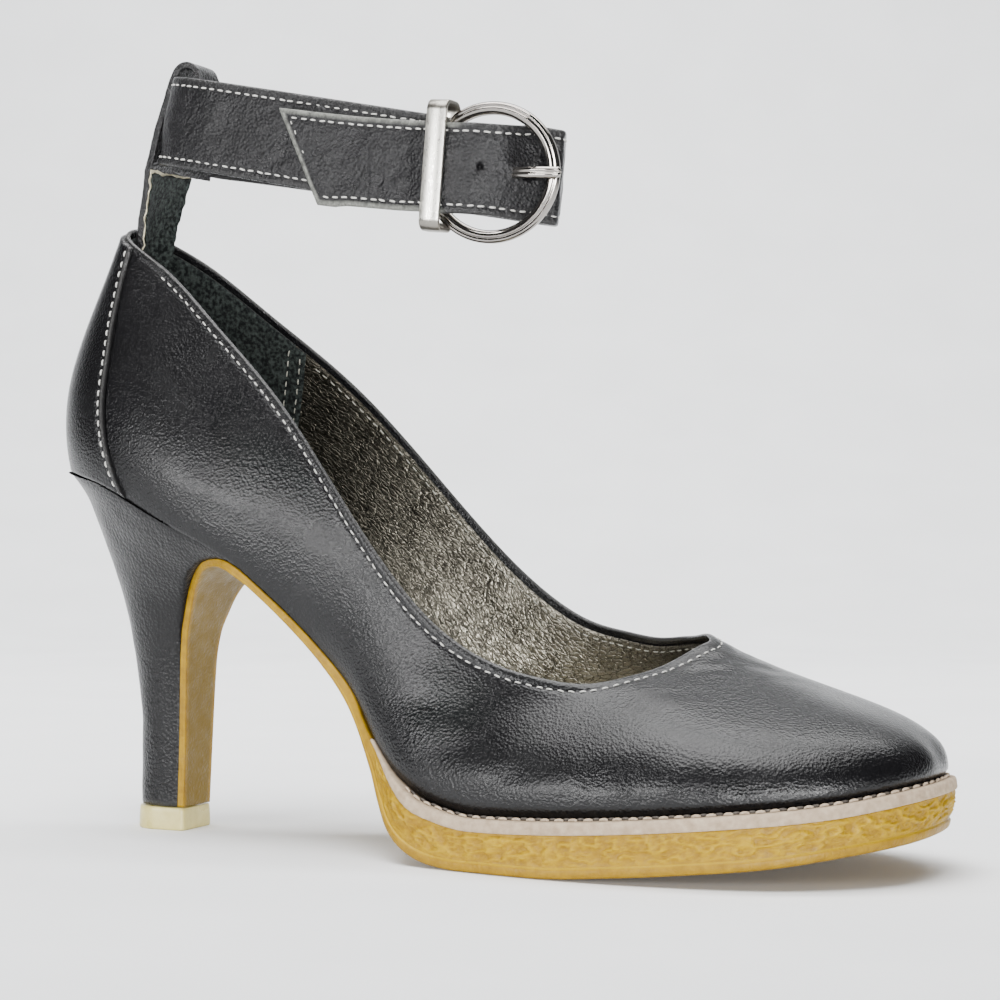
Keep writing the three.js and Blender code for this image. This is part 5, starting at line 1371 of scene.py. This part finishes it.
# Leather outside and suede inside along the same middle, each a closed strip, with a thin
# cut edge between them
def makeTab():
    look = tabLook
    rows = tabRows()
    middle = np.array([row[0] for row in rows])
    t = np.linspace(0, 1, 260)
    index = t * (len(rows) - 1)
    columns = np.array([row[1:] for row in rows], float).T
    wide, thick, bow = (np.interp(index, np.arange(len(rows)), column)[:, None] for column in columns)
    path = onRoute(middle, t)
    tangent = unit(routeStep(middle, t, 0.003))
    normal = stack(tangent[:, 2], 0, -tangent[:, 0])[:, None]
    half = look["thick"] / 2

    # Layer between two shares of the thickness, its edges rounded and drawn in by grow
    def layer(name, low, high, grow, material, rough, node=None, upTo=260):
        s = np.sin(np.linspace(-1, 1, 44) * np.pi / 2)
        ends = np.array([0.12, 0.5, 0.88])
        across = np.concatenate([s, np.ones(3), s[::-1], -np.ones(3)])
        share = np.concatenate([np.ones(44), 1 - ends, np.zeros(44), ends])
        inner = np.minimum(1, np.maximum(0, 1 - np.abs(across)) / 0.06)
        lean = lerp(low, high, lerp(0.5, share, 0.75 + 0.25 * np.sqrt(inner)))
        place = across[None, :, None] * (wide * look["width"] / 2 + grow)[..., None]
        flat = path[:, None] + normal * (lean * half)[None, :, None] * thick[..., None]
        flat = flat + loopSide * place
        flat = flat + stack((across**2)[None] * bow * look["width"], 0, 0)
        ragged = rough * unevenness(flat, 2.2, 91)
        flat = flat + loopSide * (np.sign(across) * (np.abs(across) > 0.9) * ragged)[..., None]
        flat = flat + normal * (0.4 * rough * unevenness(flat, 4, 92))[..., None]
        flat = flat[:upTo]
        flat[-6:] -= loopRise * (1.8 * rough * unevenness(flat[-6:], 3, 93))[..., None]
        addBody(name, flat, material, {"wearAndHighlight": np.full(flat.shape[:2], 0.1)}, node)

    # The suede and its cut edge end just under the strap
    over = (path - loopBack) @ loopRise
    ends = int(np.argmax(over > -1.6))
    layer("tab_leather", 0.4, -1.35, 0.0, strapLeather, 0.06, "back_tab")
    layer("tab_edge", 0.6, 0.34, 0.14, cutEdge, 0.3, None, ends + 3)
    layer("tab_suede", 1.0, 0.52, -0.3, suede, 0.3, None, ends)


makeTab()
print("tab made")

# Camera, in millimetres, and the faint light of the world
stageLook = {
    "azimuth": math.radians(23), "roll": math.radians(0.5), "distance": 572.78,
    "target": (86.03, 0, 79.76), "lens": 90, "sensor": 36, "sky": (0.9, 0.92, 0.95, 1), "skyLight": 0.1,
}


# Directions seen from the camera: across the picture, and from the shoe towards the camera
def stageAxes():
    cos, sin = math.cos(stageLook["azimuth"]), math.sin(stageLook["azimuth"])
    return np.array([cos, sin, 0]), np.array([sin, -cos, 0])


# Floor that runs level under the shoe and curves up far behind it, seen from the camera
def makeFloor():
    across, near = stageAxes()
    angle = np.linspace(0, np.pi / 2, 40)
    run = np.concatenate([[-2500, -600], 700 + 900 * np.sin(angle), [1600]])
    height = np.concatenate([[0, 0], 900 * (1 - np.cos(angle)), [3200]])
    wide = np.linspace(-3500, 3500, 3)
    points = across * wide[None, :, None] - near * run[:, None, None] + up * height[:, None, None]
    mesh = bpy.data.meshes.new("floor")
    mesh.from_pydata(points.reshape(-1, 3) * 0.001, [], gridFaces(len(run), 3, wrap=False))
    for polygon in mesh.polygons:
        polygon.use_smooth = True
    mesh.materials.append(makePlain("pale_floor", (0.82, 0.83, 0.84), (0.86, 0.87, 0.88), 60, 0.9, 0.02, 0.1))
    floor = bpy.data.objects.new("floor", mesh)
    bpy.context.scene.collection.objects.link(floor)


# Soft boxes: where each stands, seen from the camera: across, towards it and up from the shoe,
# and how far behind the shoe it aims, in metres
lightTable = {
    "overhead": {"across": -0.15, "near": 0.3, "over": 1.1, "wide": 0.8, "tall": 0.8, "watts": 24, "aim": 0},
    "front": {"across": 0.25, "near": 1.2, "over": 0.01, "wide": 0.9, "tall": 0.12, "watts": 20, "aim": 0},
    "left": {"across": -0.95, "near": 0.85, "over": 0.16, "wide": 0.6, "tall": 0.2, "watts": 13, "aim": 0},
    "backdrop": {"across": 0, "near": -0.3, "over": 1.0, "wide": 1.6, "tall": 0.5, "watts": 36, "aim": 1.3},
}


# Each box stands off the camera's target by its three distances and faces its aim
def makeLights():
    across, near = stageAxes()
    target = np.array(stageLook["target"]) * 0.001
    for name, look in lightTable.items():
        light = bpy.data.lights.new(name, "AREA")
        light.shape = "RECTANGLE"
        light.size = look["wide"]
        light.size_y = look["tall"]
        light.energy = look["watts"]
        lamp = bpy.data.objects.new(name, light)
        place = target + across * look["across"] + near * look["near"] + up * look["over"]
        aim = target - near * look["aim"]
        lamp.location = place
        lamp.visible_camera = False
        lamp.rotation_euler = Vector(aim - place).to_track_quat("-Z", "Y").to_euler()
        bpy.context.scene.collection.objects.link(lamp)
    world = bpy.data.worlds.new("studio")
    world.use_nodes = True
    background = world.node_tree.nodes["Background"]
    background.inputs["Color"].default_value = stageLook["sky"]
    background.inputs["Strength"].default_value = stageLook["skyLight"]
    bpy.context.scene.world = world


# Camera level with its target, turned by the azimuth and rolled in the picture
def makeCamera():
    across, near = stageAxes()
    roll = stageLook["roll"]
    right = across * math.cos(roll) + up * math.sin(roll)
    top = up * math.cos(roll) - across * math.sin(roll)
    camera = bpy.data.cameras.new("camera")
    camera.lens = stageLook["lens"]
    camera.sensor_width = stageLook["sensor"]
    camera.clip_start = 0.01
    holder = bpy.data.objects.new("camera", camera)
    place = (np.array(stageLook["target"]) + near * stageLook["distance"]) * 0.001
    matrix = np.eye(4)
    matrix[:3] = np.stack([right, top, near, place], 1)
    holder.matrix_world = Matrix(matrix.tolist())
    bpy.context.scene.collection.objects.link(holder)
    bpy.context.scene.camera = holder


makeFloor()
makeLights()
makeCamera()
print("stage made")
